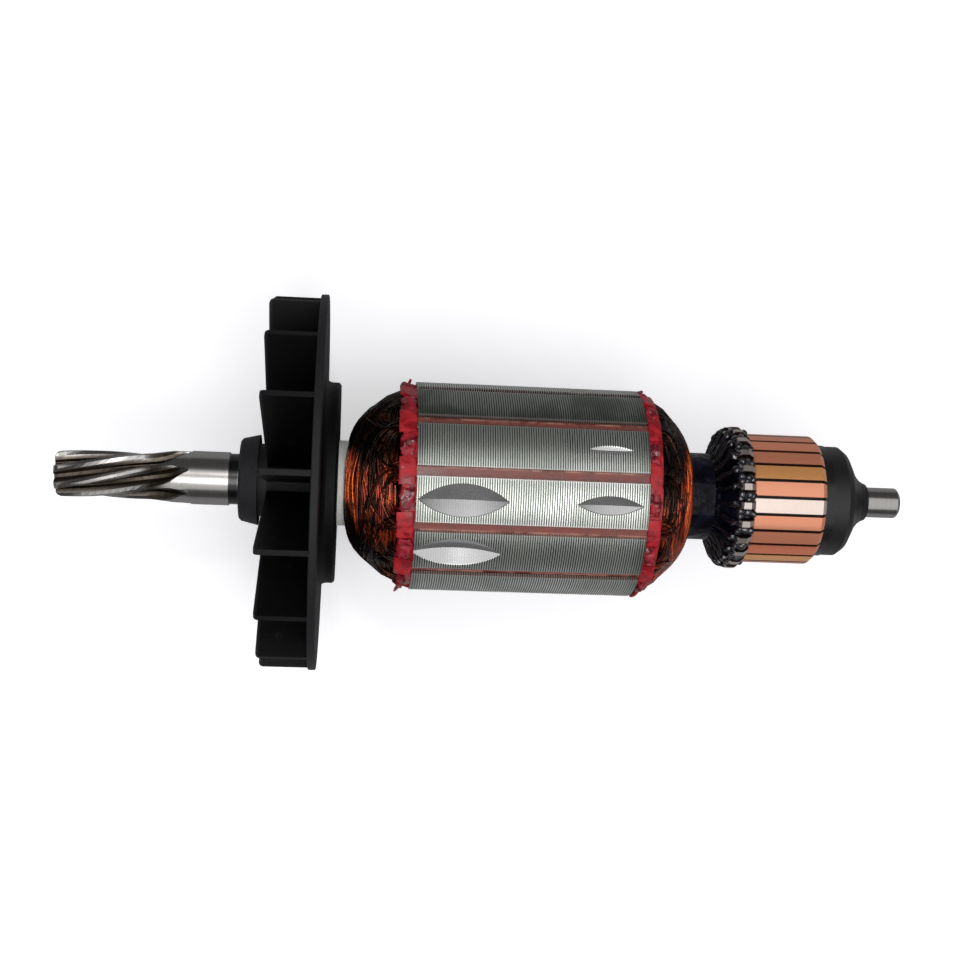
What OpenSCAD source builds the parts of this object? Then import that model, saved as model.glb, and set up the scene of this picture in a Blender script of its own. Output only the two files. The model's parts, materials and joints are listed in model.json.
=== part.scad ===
// Universal-motor armature with an integral helical pinion.
// The rotor axis is X. The origin is the middle of the drive-end bearing journal,
// the pinion points to -X and the commutator lies towards +X.

/* [Shaft] */
// Diameter of the drive-end bearing journal
drive_journal_d = 12; // [11.9:0.1:12.6]
// Length of the drive-end bearing journal
drive_journal_len = 8.3; // [7:0.1:11]
// Diameter of the relieved neck between the journal and the fan
neck_d = 11.4; // [11:0.1:11.6]
// Length of the relieved neck
neck_len = 2.4; // [1:0.1:5]
// Diameter of the shaft between the teeth and the journal
pinion_blank_d = 11.6; // [11.2:0.1:11.6]
// Diameter of the shaft inside the fan and the core
core_seat_d = 11.6; // [10.6:0.1:11.6]
// Diameter of the commutator seat
commutator_seat_d = 10; // [8.5:0.1:10.4]
// Diameter of the seat under the end cap, which is also the bearing's shoulder
cap_seat_d = 7.8; // [7.7:0.1:8.2]
// Diameter of the commutator-end bearing journal
end_journal_d = 7; // [6:0.1:7.4]
// Length of the commutator-end bearing journal
end_journal_len = 8; // [6:0.1:12]
// Chamfer on the free edge of the commutator-end journal
end_journal_chamfer = 0.7; // [0.3:0.1:1.2]

/* [Pinion] */
// Number of helical teeth cut into the shaft
pinion_teeth = 7; // [6:1:9]
// Normal module of the teeth
pinion_module = 1.12; // [1:0.01:1.16]
// Profile shift of the teeth, in modules
pinion_shift = 0.3; // [0.2:0.01:0.35]
// Height of the teeth above the pitch circle before the shift, in modules
pinion_addendum = 0.79; // [0.7:0.01:0.85]
// Helix angle at the pitch circle, left-handed
pinion_helix = 11.5; // [5:0.5:16]
// Angle of the first tooth space at the middle of the journal, from +Z towards +Y
pinion_start = 32; // [0:0.5:51]
// Pressure angle of the teeth
pinion_pressure_angle = 20; // [18:0.5:22]
// Length from the shaft's free end to the start of the journal
pinion_len = 29.8; // [26:0.1:38]
// Radius of the hob that leaves the run-out at the end of each tooth space
hob_r = 13.5; // [10:0.5:18]
// Length of the cone between the tooth tips and the journal diameter
pinion_cone_len = 4.5; // [3:0.1:6]
// Chamfer on the free end of the teeth
pinion_chamfer = 1.1; // [0.5:0.1:1.6]

/* [Fan] */
// Outer diameter of the fan plate
fan_d = 84.2; // [70:0.2:100]
// Thickness of the fan plate
fan_plate_t = 1.7; // [1.2:0.1:3]
// Number of radial blades
blade_count = 16; // [10:1:20]
// Angle of the first blade, from +Z towards +Y
blade_start = 2.7; // [0:0.1:17.9]
// Thickness of a blade
blade_t = 1.2; // [0.8:0.1:1.8]
// Depth of a blade at its tip, from the plate to its free edge
blade_tip_depth = 11; // [8:0.1:12]
// Amount by which a blade's free edge drops back towards the hub
blade_edge_drop = 0.6; // [0:0.1:1.5]
// Distance from the fan rim to the blade tips
blade_tip_inset = 0.4; // [0.1:0.1:2]
// Radius on the outer corner of a blade
blade_corner_r = 1; // [0.5:0.1:2]
// Length of the hub in front of the plate
hub_front_len = 16.7; // [15:0.1:20]
// Radius of the hub's front face
hub_nose_r = 9.3; // [8.6:0.1:9.6]
// Radius of the hub's collar at its back edge
hub_collar_r = 10.2; // [9.8:0.1:12]
// Length of the hub's collar
hub_collar_len = 4.2; // [3:0.1:5]
// Radius of the hub behind the collar
hub_barrel_r = 8.2; // [7.6:0.1:9]
// Radius of the boss on the back of the plate
back_boss_r = 22.6; // [18:0.1:26]
// Height of the boss on the back of the plate
back_boss_len = 3.4; // [2:0.1:4]
// Radius of the flare between the plate and the back boss
back_boss_flare = 1.6; // [0.8:0.1:1.8]

/* [Core] */
// Outer diameter of the lamination stack
core_d = 47; // [44:0.2:50]
// Length of the lamination stack
core_len = 50; // [40:0.5:70]
// Angle of the first slot, from +Z towards +Y
slot_start = 8.5; // [0:0.5:29.5]
// Width of the slot mouth
slot_mouth_w = 2.3; // [1.6:0.1:2.8]
// Width of a tooth between two slots
tooth_w = 4.3; // [3.9:0.1:4.6]
// Thickness of a tooth tip at the slot mouth
tooth_tip_t = 0.9; // [0.7:0.1:1.3]
// Height of the slope between the tooth tip and the slot wall
tooth_shoulder = 1; // [0.8:0.1:1.3]
// Radius at the bottom of the slots
slot_bottom_r = 13.4; // [12.8:0.1:14]
// Radius of the bore through the stack
core_bore_r = 8.2; // [7.4:0.1:8.6]

/* [Balancing] */
// Radius of the cutter that mills the balancing grooves
balance_cutter_r = 27; // [20:1:35]
// Half of the included angle of the cutter's edge
balance_half_angle = 67; // [60:1:72]
// Depth of the two deep grooves near the fan
balance_deep = 1.85; // [1:0.05:1.9]
// Depth of the shallow groove near the commutator
balance_shallow = 1; // [0.6:0.05:1.2]
// Depth of the light groove near the commutator
balance_light = 0.45; // [0.3:0.05:0.6]
// Distance from the core's fan end to the middle of the first deep groove
balance_inset = 10.1; // [8:0.1:14]
// Distance by which the second deep groove lies nearer to the fan
balance_stagger = 1; // [0:0.1:3]
// Distance from the core's commutator end to the middle of the other grooves
balance_end_inset = 8.4; // [8:0.1:14]

/* [Insulation] */
// Radius of the sleeve where it carries the fan-side winding
sleeve_r = 9.6; // [9.2:0.1:10]
// Thickness of an end insulator against the core
end_insulator_t = 1.2; // [0.8:0.1:1.6]
// Thickness of the folded tabs on the teeth, from the core
tab_height = 3.1; // [2.4:0.1:3.2]
// Radius that the end insulators reach
end_insulator_r = 22.4; // [21.9:0.1:22.8]
// Inner radius of the folded tabs
tab_inner_r = 18.2; // [17:0.1:19]
// Thickness of a slot liner
liner_t = 0.25; // [0.15:0.05:0.4]
// Length of liner that stands out of each end of the core
liner_stand_out = 2.6; // [1.4:0.1:3]
// Thickness of a slot wedge
wedge_t = 0.7; // [0.5:0.1:0.8]

/* [Winding] */
// Length from the core to the tip of the fan-side winding
fan_overhang = 15.6; // [13:0.1:18]
// Length from the core to the tip of the commutator-side winding
commutator_overhang = 12.4; // [11:0.1:16]
// Radius of the winding where it leaves the core
winding_r = 19.8; // [19:0.1:20.4]
// Width of a coil where it crosses the end of the core
coil_band_w = 5.2; // [4:0.1:6]
// Angle up the winding dome at which a coil passes the shaft
coil_crown = 72; // [66:1:74]
// Gap between the fan's back boss and the winding
fan_gap = 1.2; // [0.6:0.1:3]

/* [Commutator] */
// Angle of the first gap between bars, from +Z towards +Y
bar_start = 1.7; // [0:0.1:14.9]
// Radius of the brush track
track_r = 14.8; // [13.8:0.1:15.2]
// Length of the brush track
track_len = 15.7; // [12:0.1:20]
// Radial thickness of a bar
bar_t = 3; // [2:0.1:3.4]
// Width of the gap between bars
bar_gap = 0.55; // [0.4:0.05:0.7]
// Depth of the undercut between bars
undercut = 0.8; // [0.5:0.1:1.2]
// Height of the bevel at the outer end of each bar
bar_bevel = 0.9; // [0.5:0.1:1.6]
// Length of the bevel at the outer end of each bar
bar_bevel_len = 1; // [0.5:0.1:2.4]
// Radius over the hooks
hook_r = 16.3; // [15.8:0.1:16.8]
// Length of a hook along the shaft
hook_len = 3.6; // [3:0.1:4.5]
// Width of a hook
hook_w = 1.8; // [1.4:0.1:2]
// Gap between the hooks and the brush track
hook_step = 0.8; // [0.5:0.1:1.2]

/* [Leads] */
// Diameter of a twisted pair of leads
lead_d = 1.1; // [0.9:0.05:1.1]
// Thickness of the binding round the leads
binding_t = 0.55; // [0.4:0.05:0.7]
// Length of the bound neck between winding and commutator
bound_neck_len = 5.9; // [4:0.1:8]
// Length over which the leads spread out to the hooks
lead_spread_len = 3.6; // [3:0.1:5]

/* [End cap] */
// Radius of the cap's rim against the bars
cap_rim_r = 12.8; // [12.2:0.1:13.2]
// Length of the rim
cap_rim_len = 2.4; // [2:0.1:3]
// Radius of the cap behind the rim
cap_barrel_r = 12.6; // [12:0.1:13.1]
// Length of the cap's straight part, with the rim
cap_barrel_len = 5.8; // [4:0.1:7]
// Length of the whole cap
cap_len = 13; // [11:0.1:16]
// Radius of the cap's small end
cap_nose_r = 4.3; // [4.3:0.1:4.8]

/* [Hidden] */
$fn = 64;

clearance = 0.05;
over = 1;
slot_count = 12;
bar_count = 24;

// Stations along the shaft
x_pinion_end = -drive_journal_len / 2 - pinion_len;
x_journal_start = -drive_journal_len / 2;
x_journal_end = drive_journal_len / 2;
x_hub = x_journal_end + neck_len;
x_plate = x_hub + hub_front_len;
x_back_boss = x_plate + fan_plate_t + back_boss_len;
x_fan_winding = x_back_boss + fan_gap;
x_core = x_fan_winding + fan_overhang;
x_core_end = x_core + core_len;
x_commutator_winding = x_core_end + commutator_overhang;
x_spread = x_commutator_winding + bound_neck_len;
x_hooks = x_spread + lead_spread_len;
x_track = x_hooks + hook_len + hook_step;
x_bars_end = x_track + track_len;
x_cap_end = x_bars_end + cap_len;
x_shaft_end = x_cap_end + end_journal_len;

// Pinion tooth form
transverse_module = pinion_module / cos(pinion_helix);
pitch_r = pinion_teeth * transverse_module / 2;
tip_r = pitch_r + pinion_module * (pinion_addendum + pinion_shift);
root_r = pitch_r - pinion_module * (1.2 - pinion_shift);
transverse_pressure = atan(tan(pinion_pressure_angle) / cos(pinion_helix));
base_r = pitch_r * cos(transverse_pressure);
helix_lead = 2 * PI * pitch_r / tan(pinion_helix);
groove_stations = 14;
runout_stations = 6;
groove_gap = 0.4;
runout_over = 0.25;
flank_steps = 3;
root_share = 0.7;
fillet_share = 0.92;
flank_r = tip_r + 0.13;

// Core and slots
core_r = core_d / 2;
slot_pitch = 360 / slot_count;
shoulder_r = core_r - tooth_tip_t - tooth_shoulder;
wedge_top = core_r - tooth_tip_t - clearance;

// Balancing grooves: tooth, station of the deepest point and depth
balance_cuts = [
    [-1, x_core + balance_inset, balance_deep],
    [-1, x_core_end - balance_end_inset, balance_shallow],
    [-2, x_core + balance_inset - balance_stagger, balance_deep],
    [0, x_core_end - balance_end_inset, balance_light]
];

// Space for the coil sides inside a slot
coil_inset = liner_t + 3 * clearance;
coil_inner_r = slot_bottom_r + coil_inset + 0.2;
coil_outer_r = shoulder_r - clearance - wedge_t / 3;
coil_split = (coil_inner_r + coil_outer_r) / 2;
coil_split_gap = 0.3;

// Winding layers: two coils lie opposite each other in each of the six layers
layer_count = slot_count / 2;
coil_span = 5;
layer_one_start = slot_start - 3 * slot_pitch + (layer_count - 1) * slot_pitch;
dome_base = tab_height + 0.2;
dome_inner_share = 0.42;
dome_power = 1.2;
layer_gap = 0.12;
climb_power = 0.7;
leg_blend = 32;
coil_rings = 16;

// Small breaks and steps
nose_break = 0.5;
rim_break = 0.2;
balance_edge_depth = 3;
wedge_wing = 1.1;
wedge_crown = 0.25;
binding_tuck = 1.2;
binding_lip = 0.2;
anchor_step = 0.4;
anchor_len = 1.5;
fin_root = 0.5;
hook_root = 0.5;
hook_curl = 0.7;
hook_ramp = 1.2;

// Fall of the cap from its straight part to its small end, as shares of its length and depth
cap_shape = [[0, 0], [0.2, 0.13], [0.37, 0.39], [0.56, 0.69], [0.76, 0.89], [0.92, 0.98]];

// Leads
lead_run_r = core_bore_r + lead_d / 2 + clearance;
binding_r = core_bore_r + lead_d + 2 * clearance + binding_t;
bar_pitch = 360 / bar_count;
bar_inner_r = track_r - bar_t;
lead_end_r = hook_r - lead_d / 2 - 0.2;
lead_sides = 6;
lead_rings = 7;
lead_bend = 0.3;
x_bend = x_spread - 0.4;

function polar(r, angle) = [r * sin(angle), r * cos(angle)];
function mix(a, b, t) = a + (b - a) * t;
function ease(t) = t <= 0 ? 0 : t >= 1 ? 1 : t * t * (3 - 2 * t);

// Triangles that close one end of a row of rings, in strips across the ring
function end_faces(first, sides, flip) = [
    for (i = [0 : sides / 2 - 2])
        let (a = first + i, b = a + 1, c = first + sides - 2 - i, d = c + 1)
        each flip ? [[a, c, b], [a, d, c]] : [[a, b, c], [a, c, d]]
];

// Faces that join a row of equal rings; closed makes the row a loop
function tube_faces(rings, sides, closed) = concat(
    [for (i = [0 : rings - (closed ? 1 : 2)], j = [0 : sides - 1])
        let (a = i * sides, b = ((i + 1) % rings) * sides, k = (j + 1) % sides)
        each [[a + j, b + j, b + k], [a + j, b + k, a + k]]],
    closed ? [] : concat(end_faces(0, sides, false), end_faces((rings - 1) * sides, sides, true))
);

// Turns a child drawn along +Z so that it lies along +X
module along_x(x = 0) {
    translate([x, 0, 0]) rotate([90, 0, 90]) children();
}

// Revolves an outline of [station, radius] points about the shaft axis
module turned(outline) {
    rotate([0, 90, 0]) rotate_extrude() polygon([for (p = outline) [p[1], p[0]]]);
}

// Places a child drawn along +Z at an angle from +Z towards +Y
module at_angle(angle) {
    rotate([-angle, 0, 0]) children();
}

// Half the angle of the tooth space at a radius, from the involute
function involute(angle) = tan(angle) - angle * PI / 180;
function roll_angle(r) = r <= base_r ? 0 : acos(base_r / r);
function space_half_angle(r) =
    let (tooth = 90 / pinion_teeth
        + (2 * pinion_shift * tan(pinion_pressure_angle) / pinion_teeth
            + involute(transverse_pressure) - involute(roll_angle(r))) * 180 / PI)
    180 / pinion_teeth - tooth;

// Outline of one tooth space in the plane across the shaft, as [radius, angle] pairs
function space_side() = concat(
    [
        [root_r, space_half_angle(root_r) * root_share],
        [root_r + 0.12 * pinion_module, space_half_angle(root_r) * fillet_share]
    ],
    [for (i = [1 : flank_steps]) let (r = mix(root_r, flank_r, i / flank_steps)) [r, space_half_angle(r)]],
    [[tip_r + 2 * pinion_module, space_half_angle(tip_r) * 1.45]]
);
function space_outline() = let (side = space_side(), n = len(side)) concat(
    [for (i = [0 : n - 1]) [side[i][0], side[i][1]]],
    [for (i = [n - 1 : -1 : 0]) [side[i][0], -side[i][1]]]
);

// How far the hob has lifted out of the tooth space at a station
x_groove_end = x_journal_start - groove_gap;
groove_lift = pinion_blank_d / 2 - root_r;
runout_len = sqrt(2 * hob_r * groove_lift - groove_lift * groove_lift);
x_full_depth = x_groove_end - runout_len;
function hob_lift(x) = x <= x_full_depth ? 0 : hob_r - sqrt(max(0, hob_r * hob_r - pow(x - x_full_depth, 2)));

function groove_ring(x, turn) =
    let (angle = turn + 360 * x / helix_lead, lift = hob_lift(x))
    [for (p = space_outline()) let (q = polar(p[0], angle + p[1]) + polar(lift, angle)) [x, q[0], q[1]]];

// The cutter of one helical tooth space, with its curved run-out
module tooth_space(turn) {
    stations = concat(
        [for (i = [0 : groove_stations - 1])
            mix(x_pinion_end - over, x_full_depth, i / (groove_stations - 1))],
        [for (i = [1 : runout_stations]) x_full_depth + (runout_len + runout_over) * i / runout_stations]
    );
    rings = [for (x = stations) groove_ring(x, turn)];
    sides = len(rings[0]);
    polyhedron(
        points = [for (ring = rings, p = ring) p],
        faces = tube_faces(len(rings), sides, false)
    );
}

module turned_shaft() {
    journal_r = drive_journal_d / 2;
    end_r = end_journal_d / 2;
    turned([
        [x_pinion_end, 0],
        [x_pinion_end, tip_r - pinion_chamfer * 0.75],
        [x_pinion_end + pinion_chamfer * 0.35, tip_r - pinion_chamfer * 0.3],
        [x_pinion_end + pinion_chamfer, tip_r],
        [x_full_depth, tip_r],
        [x_full_depth + pinion_cone_len, pinion_blank_d / 2],
        [x_journal_start, pinion_blank_d / 2],
        [x_journal_start, journal_r],
        [x_journal_end, journal_r],
        [x_journal_end, neck_d / 2],
        [x_hub, neck_d / 2],
        [x_hub, core_seat_d / 2],
        [x_core_end + over, core_seat_d / 2],
        [x_core_end + over, commutator_seat_d / 2],
        [x_bars_end, commutator_seat_d / 2],
        [x_bars_end, cap_seat_d / 2],
        [x_cap_end, cap_seat_d / 2],
        [x_cap_end, end_r],
        [x_shaft_end - end_journal_chamfer, end_r],
        [x_shaft_end - end_journal_chamfer * 0.4, end_r - end_journal_chamfer * 0.4],
        [x_shaft_end, end_r - end_journal_chamfer],
        [x_shaft_end, 0]
    ]);
}

module shaft() color([0.72, 0.72, 0.70]) {
    difference() {
        turned_shaft();
        for (i = [0 : pinion_teeth - 1]) tooth_space(pinion_start + 360 * i / pinion_teeth);
    }
}

// One flat blade in the plane of the shaft axis
module fan_blade() {
    tip_x = x_plate - blade_tip_depth;
    root_x = tip_x + blade_edge_drop;
    tip_radius = fan_d / 2 - blade_tip_inset;
    rotate([90, 0, 0]) linear_extrude(height = blade_t, center = true) union() {
        polygon([
            [x_plate + fan_plate_t / 2, hub_barrel_r - over / 2],
            [root_x, hub_barrel_r - over / 2],
            [tip_x, tip_radius - blade_corner_r],
            [tip_x + blade_corner_r, tip_radius],
            [x_plate + fan_plate_t / 2, tip_radius]
        ]);
        translate([tip_x + blade_corner_r, tip_radius - blade_corner_r]) circle(r = blade_corner_r);
    }
}

module fan_body() {
    x_back = x_plate + fan_plate_t;
    seat_r = core_seat_d / 2;
    flare = [for (a = [0 : 22.5 : 90])
        [x_back + back_boss_flare * (1 - sin(a)), back_boss_r + back_boss_flare * (1 - cos(a))]];
    turned(concat(
        [
            [x_hub, seat_r],
            [x_hub, hub_nose_r - nose_break],
            [x_hub + nose_break, hub_nose_r],
            [x_hub + hub_collar_len, hub_collar_r],
            [x_hub + hub_collar_len, hub_barrel_r],
            [x_plate, hub_barrel_r],
            [x_plate, fan_d / 2 - rim_break],
            [x_plate + rim_break, fan_d / 2],
            [x_back - rim_break, fan_d / 2],
            [x_back, fan_d / 2 - rim_break]
        ],
        [for (i = [len(flare) - 1 : -1 : 0]) flare[i]],
        [
            [x_back_boss - nose_break, back_boss_r],
            [x_back_boss, back_boss_r - nose_break],
            [x_back_boss, seat_r]
        ]
    ));
}

module fan() color([0.06, 0.06, 0.06]) {
    union() {
        fan_body();
        for (i = [0 : blade_count - 1]) at_angle(blade_start + 360 * i / blade_count) fan_blade();
    }
}

module insulating_sleeve() color([0.80, 0.80, 0.76]) {
    bore_r = core_seat_d / 2;
    turned([
        [x_back_boss, bore_r],
        [x_back_boss, sleeve_r],
        [x_core - end_insulator_t, sleeve_r],
        [x_core - end_insulator_t, core_bore_r],
        [x_hooks, core_bore_r],
        [x_hooks, commutator_seat_d / 2],
        [x_core_end + over, commutator_seat_d / 2],
        [x_core_end + over, bore_r]
    ]);
}

// Distance from the middle of a slot to its wall, at a height along the slot
function slot_wall(y, inset) = (y * sin(slot_pitch / 2) - tooth_w / 2 - inset) / cos(slot_pitch / 2);

// Outline of one slot drawn along +Y, shrunk by an inset and cut off at a height
module slot_outline(inset, top) {
    half = slot_pitch / 2;
    bottom_y = (slot_bottom_r + inset - tooth_w / 2 - inset) / (1 - sin(half));
    bottom_r = bottom_y * sin(half) - tooth_w / 2 - inset;
    low_y = bottom_y - bottom_r * sin(half);
    union() {
        translate([0, bottom_y]) circle(r = bottom_r);
        polygon([
            [-bottom_r * cos(half), low_y],
            [-slot_wall(top, inset), top],
            [slot_wall(top, inset), top],
            [bottom_r * cos(half), low_y]
        ]);
    }
}

// The whole slot with its shoulders and mouth
module slot_opening() {
    mouth = slot_mouth_w / 2;
    union() {
        slot_outline(0, shoulder_r);
        polygon([
            [-slot_wall(shoulder_r, 0), shoulder_r],
            [-mouth, core_r - tooth_tip_t],
            [-mouth, core_r + over],
            [mouth, core_r + over],
            [mouth, core_r - tooth_tip_t],
            [slot_wall(shoulder_r, 0), shoulder_r]
        ]);
    }
}

// Lays a slot's outline, drawn along +Y, across the shaft at a slot
module at_slot(i) {
    at_angle(slot_start + i * slot_pitch) children();
}

// One stack section with its slots and bore, across the shaft
module slotted_section(outer_r) {
    difference() {
        circle(r = outer_r, $fn = 96);
        circle(r = core_bore_r);
        for (i = [0 : slot_count - 1]) rotate(-slot_start - i * slot_pitch) slot_opening();
    }
}

// A groove milled into a tooth; the cutter's vee edge stands in the plane of the axis
module balance_groove(tooth, x, depth) {
    edge_half_w = balance_edge_depth * tan(balance_half_angle);
    at_angle(slot_start + (tooth + 0.5) * slot_pitch)
        translate([x, 0, core_r + balance_cutter_r - depth]) rotate([90, 0, 0]) rotate_extrude($fn = 96)
            polygon([
                [balance_cutter_r - balance_edge_depth, -edge_half_w],
                [balance_cutter_r, 0],
                [balance_cutter_r - balance_edge_depth, edge_half_w]
            ]);
}

module core() color([0.52, 0.53, 0.50]) {
    difference() {
        along_x(x_core) linear_extrude(height = core_len) slotted_section(core_r);
        for (cut = balance_cuts) balance_groove(cut[0], cut[1], cut[2]);
    }
}

// Star-shaped end insulator with a folded tab on each tooth; side is -1 or 1
module end_insulator(side) {
    x_face = side < 0 ? x_core - end_insulator_t : x_core_end;
    x_tab = side < 0 ? x_core - tab_height : x_core_end;
    union() {
        along_x(x_face) linear_extrude(height = end_insulator_t)
            slotted_section(end_insulator_r);
        along_x(x_tab) linear_extrude(height = tab_height) difference() {
            slotted_section(end_insulator_r);
            circle(r = tab_inner_r);
        }
    }
}

module fan_end_insulator() color([0.62, 0.10, 0.12]) end_insulator(-1);

module commutator_end_insulator() color([0.62, 0.10, 0.12]) end_insulator(1);

module slot_liners() color([0.45, 0.16, 0.12]) {
    liner_top = shoulder_r - clearance;
    for (i = [0 : slot_count - 1])
        along_x(x_core - liner_stand_out) linear_extrude(height = core_len + 2 * liner_stand_out)
            rotate(-slot_start - i * slot_pitch) difference() {
                slot_outline(clearance, liner_top);
                slot_outline(clearance + liner_t, liner_top + over);
            }
}

module slot_wedges() color([0.50, 0.22, 0.18]) {
    wedge_low = shoulder_r + clearance;
    low_half = slot_mouth_w / 2 + wedge_wing;
    top_y = wedge_low + wedge_t;
    top_half = slot_mouth_w / 2 + wedge_crown;
    for (i = [0 : slot_count - 1])
        along_x(x_core - liner_stand_out) linear_extrude(height = core_len + 2 * liner_stand_out)
            rotate(-slot_start - i * slot_pitch)
                polygon([
                    [-low_half, wedge_low],
                    [low_half, wedge_low],
                    [top_half, top_y],
                    [-top_half, top_y]
                ]);
}

// Winding domes: a point is given by layer height, angle up the dome and angle round the shaft
function dome_foot(side) = side < 0 ? sleeve_r + 0.15 : binding_r + 0.15;
function dome_reach(side, layer) =
    (winding_r - dome_foot(side)) * mix(dome_inner_share, 1, layer / layer_count);
function dome_height(side, layer) =
    ((side < 0 ? fan_overhang : commutator_overhang) - dome_base) * layer / layer_count;
function dome_x(side, a) = side < 0 ? x_core - a : x_core_end + a;
function power(v, p) = v <= 0 ? 0 : pow(v, p);
function dome_point(side, layer, up, round) =
    let (r = dome_foot(side) + dome_reach(side, layer) * power(cos(up), dome_power),
        a = dome_base + dome_height(side, layer) * power(sin(up), dome_power),
        q = polar(r, round))
    [dome_x(side, a), q[0], q[1]];

// Half the width of a coil side in its slot at a radius
function leg_half_width(r) = min(slot_wall(r, coil_inset), r * 0.17) - clearance;

// A point of a coil side as it leaves its slot
function leg_point(x, top, across, through, round) =
    let (low = top ? coil_split + coil_split_gap / 2 : coil_inner_r,
        high = top ? coil_outer_r : coil_split - coil_split_gap / 2,
        r = mix(low, high, through),
        q = polar(r, round) + polar(across * leg_half_width(r), round + 90))
    [x, q[0], q[1]];

// Outline of a coil: across runs from -1 to 1 and through from 0 to 1
coil_outline = [[-1, 0.25], [-0.7, 0], [0.7, 0], [1, 0.25], [1, 0.75], [0.7, 1], [-0.7, 1], [-1, 0.75]];

// How far up the dome a coil has climbed
function climb(t) = coil_crown * power(sin(180 * t), climb_power);

// One ring of a coil on an end dome; t runs from the first slot to the second
function coil_ring(side, layer, start, t) =
    let (up = climb(t),
        turn = coil_span * slot_pitch,
        round = start + turn * ease(t),
        step = 0.01,
        up_rate = climb(min(1, t + step)) - climb(max(0, t - step)),
        round_rate = turn * (ease(t + step) - ease(t - step)),
        reach = dome_reach(side, layer - 0.5),
        height = dome_height(side, layer - 0.5),
        up_size = norm([reach * sin(up), height * cos(up)]),
        round_size = dome_foot(side) + reach * power(cos(up), dome_power),
        up_move = up_rate * up_size,
        round_move = round_rate * round_size,
        move = max(0.0001, norm([up_move, round_move])),
        blend = ease(up / leg_blend),
        first = t < 0.5,
        top = first ? layer > 1 : layer == layer_count,
        leg_round = start + (first ? 0 : turn),
        leg_way = first ? 1 : -1)
    [for (p = coil_outline)
        let (across = p[0] * coil_band_w / 2,
            lift = mix(layer - 1 + layer_gap, layer - layer_gap, p[1]),
            dome_up = min(89, up - across * round_move / move / up_size * 180 / PI),
            dome_round = round + across * up_move / move / round_size * 180 / PI,
            on_dome = dome_point(side, lift, max(0, dome_up), dome_round),
            leg_x = dome_point(side, lift, up, round)[0],
            in_leg = leg_point(leg_x, top, p[0] * leg_way, p[1], leg_round))
        mix(in_leg, on_dome, blend)];

// One coil as a closed loop through two slots and over both ends of the core
module coil(layer, start) {
    outward = [for (i = [0 : coil_rings]) coil_ring(1, layer, start, i / coil_rings)];
    back = [for (i = [coil_rings : -1 : 0]) coil_ring(-1, layer, start, i / coil_rings)];
    rings = concat(outward, back);
    polyhedron(
        points = [for (ring = rings, p = ring) p],
        faces = tube_faces(len(rings), len(coil_outline), true)
    );
}

// Coils 1 to 6 are the layers in the order they were wound, and 7 to 12 lie opposite them
module wound_coil(number) color([0.45, 0.20, 0.08]) {
    layer = (number - 1) % layer_count + 1;
    opposite = number > layer_count ? 180 : 0;
    coil(layer, layer_one_start - (layer - 1) * slot_pitch + opposite);
}

// A lead runs along the sleeve, under the binding, and out to its hook
function lead_point(t) =
    let (x_start = x_core_end + dome_base + 1,
        bend = (t - lead_bend) / (1 - lead_bend),
        x = bend < 0 ? mix(x_start, x_bend, t / lead_bend) : mix(x_bend, x_hooks - clearance, bend))
    [x, mix(lead_run_r, lead_end_r, ease(bend))];

module lead(angle) {
    rings = [for (i = [0 : lead_rings - 1])
        let (t = i / (lead_rings - 1),
            p = lead_point(t),
            slope = lead_point(min(1, t + 0.02)) - lead_point(max(0, t - 0.02)),
            way = slope / norm(slope))
        [for (j = [0 : lead_sides - 1])
            let (turn = 30 - 360 * j / lead_sides,
                out = lead_d / 2 * cos(turn),
                aside = lead_d / 2 * sin(turn),
                r = p[1] + out * way[0],
                q = polar(r, angle) + polar(aside, angle + 90))
            [p[0] - out * way[1], q[0], q[1]]]];
    polyhedron(
        points = [for (ring = rings, p = ring) p],
        faces = tube_faces(lead_rings, lead_sides, false)
    );
}

module coil_leads() color([0.10, 0.07, 0.06]) {
    for (i = [0 : bar_count - 1]) lead(bar_start + (i + 0.5) * bar_pitch);
}

module lead_binding() color([0.05, 0.05, 0.08]) {
    inner = binding_r - binding_t;
    turned([
        [x_commutator_winding - binding_tuck, inner],
        [x_commutator_winding - binding_tuck, binding_r],
        [x_bend - binding_lip, binding_r],
        [x_bend - binding_lip, inner]
    ]);
}

// The resin collar that carries the spreading leads
module lead_collar() color([0.05, 0.05, 0.08]) {
    spread = [for (i = [0 : 6])
        let (p = lead_point(mix(lead_bend, 1, i / 6))) [p[0], p[1] - lead_d / 2 - clearance]];
    turned(concat(
        [[spread[0][0], core_bore_r]],
        [for (i = [1 : 6]) [spread[i][0] + (i < 6 ? lead_d * 0.45 : 0), spread[i][1]]],
        [[x_hooks - clearance, core_bore_r]]
    ));
}

// One bar drawn at +Z: track, anchor and hook
module commutator_bar() {
    half = bar_pitch / 2;
    side = bar_gap / 2;
    intersection() {
        turned([
            [x_hooks, bar_inner_r + anchor_step],
            [x_hooks, track_r],
            [x_bars_end - bar_bevel_len, track_r],
            [x_bars_end, track_r - bar_bevel],
            [x_bars_end, bar_inner_r + anchor_step],
            [x_bars_end - anchor_len, bar_inner_r],
            [x_hooks + anchor_len, bar_inner_r]
        ]);
        along_x(x_hooks - over) linear_extrude(height = x_bars_end - x_hooks + 2 * over)
            polygon([
                [0, side / sin(half)],
                [-2 * track_r * sin(half), side / sin(half) + 2 * track_r * cos(half)],
                [2 * track_r * sin(half), side / sin(half) + 2 * track_r * cos(half)]
            ]);
    }
    rotate([90, 0, 0]) linear_extrude(height = hook_w, center = true) polygon([
        [x_hooks, track_r - hook_root],
        [x_hooks, hook_r - hook_curl],
        [x_hooks + hook_curl, hook_r],
        [x_hooks + hook_len - hook_ramp, hook_r],
        [x_hooks + hook_len, track_r + hook_root],
        [x_hooks + hook_len, track_r - hook_root]
    ]);
}

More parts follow.
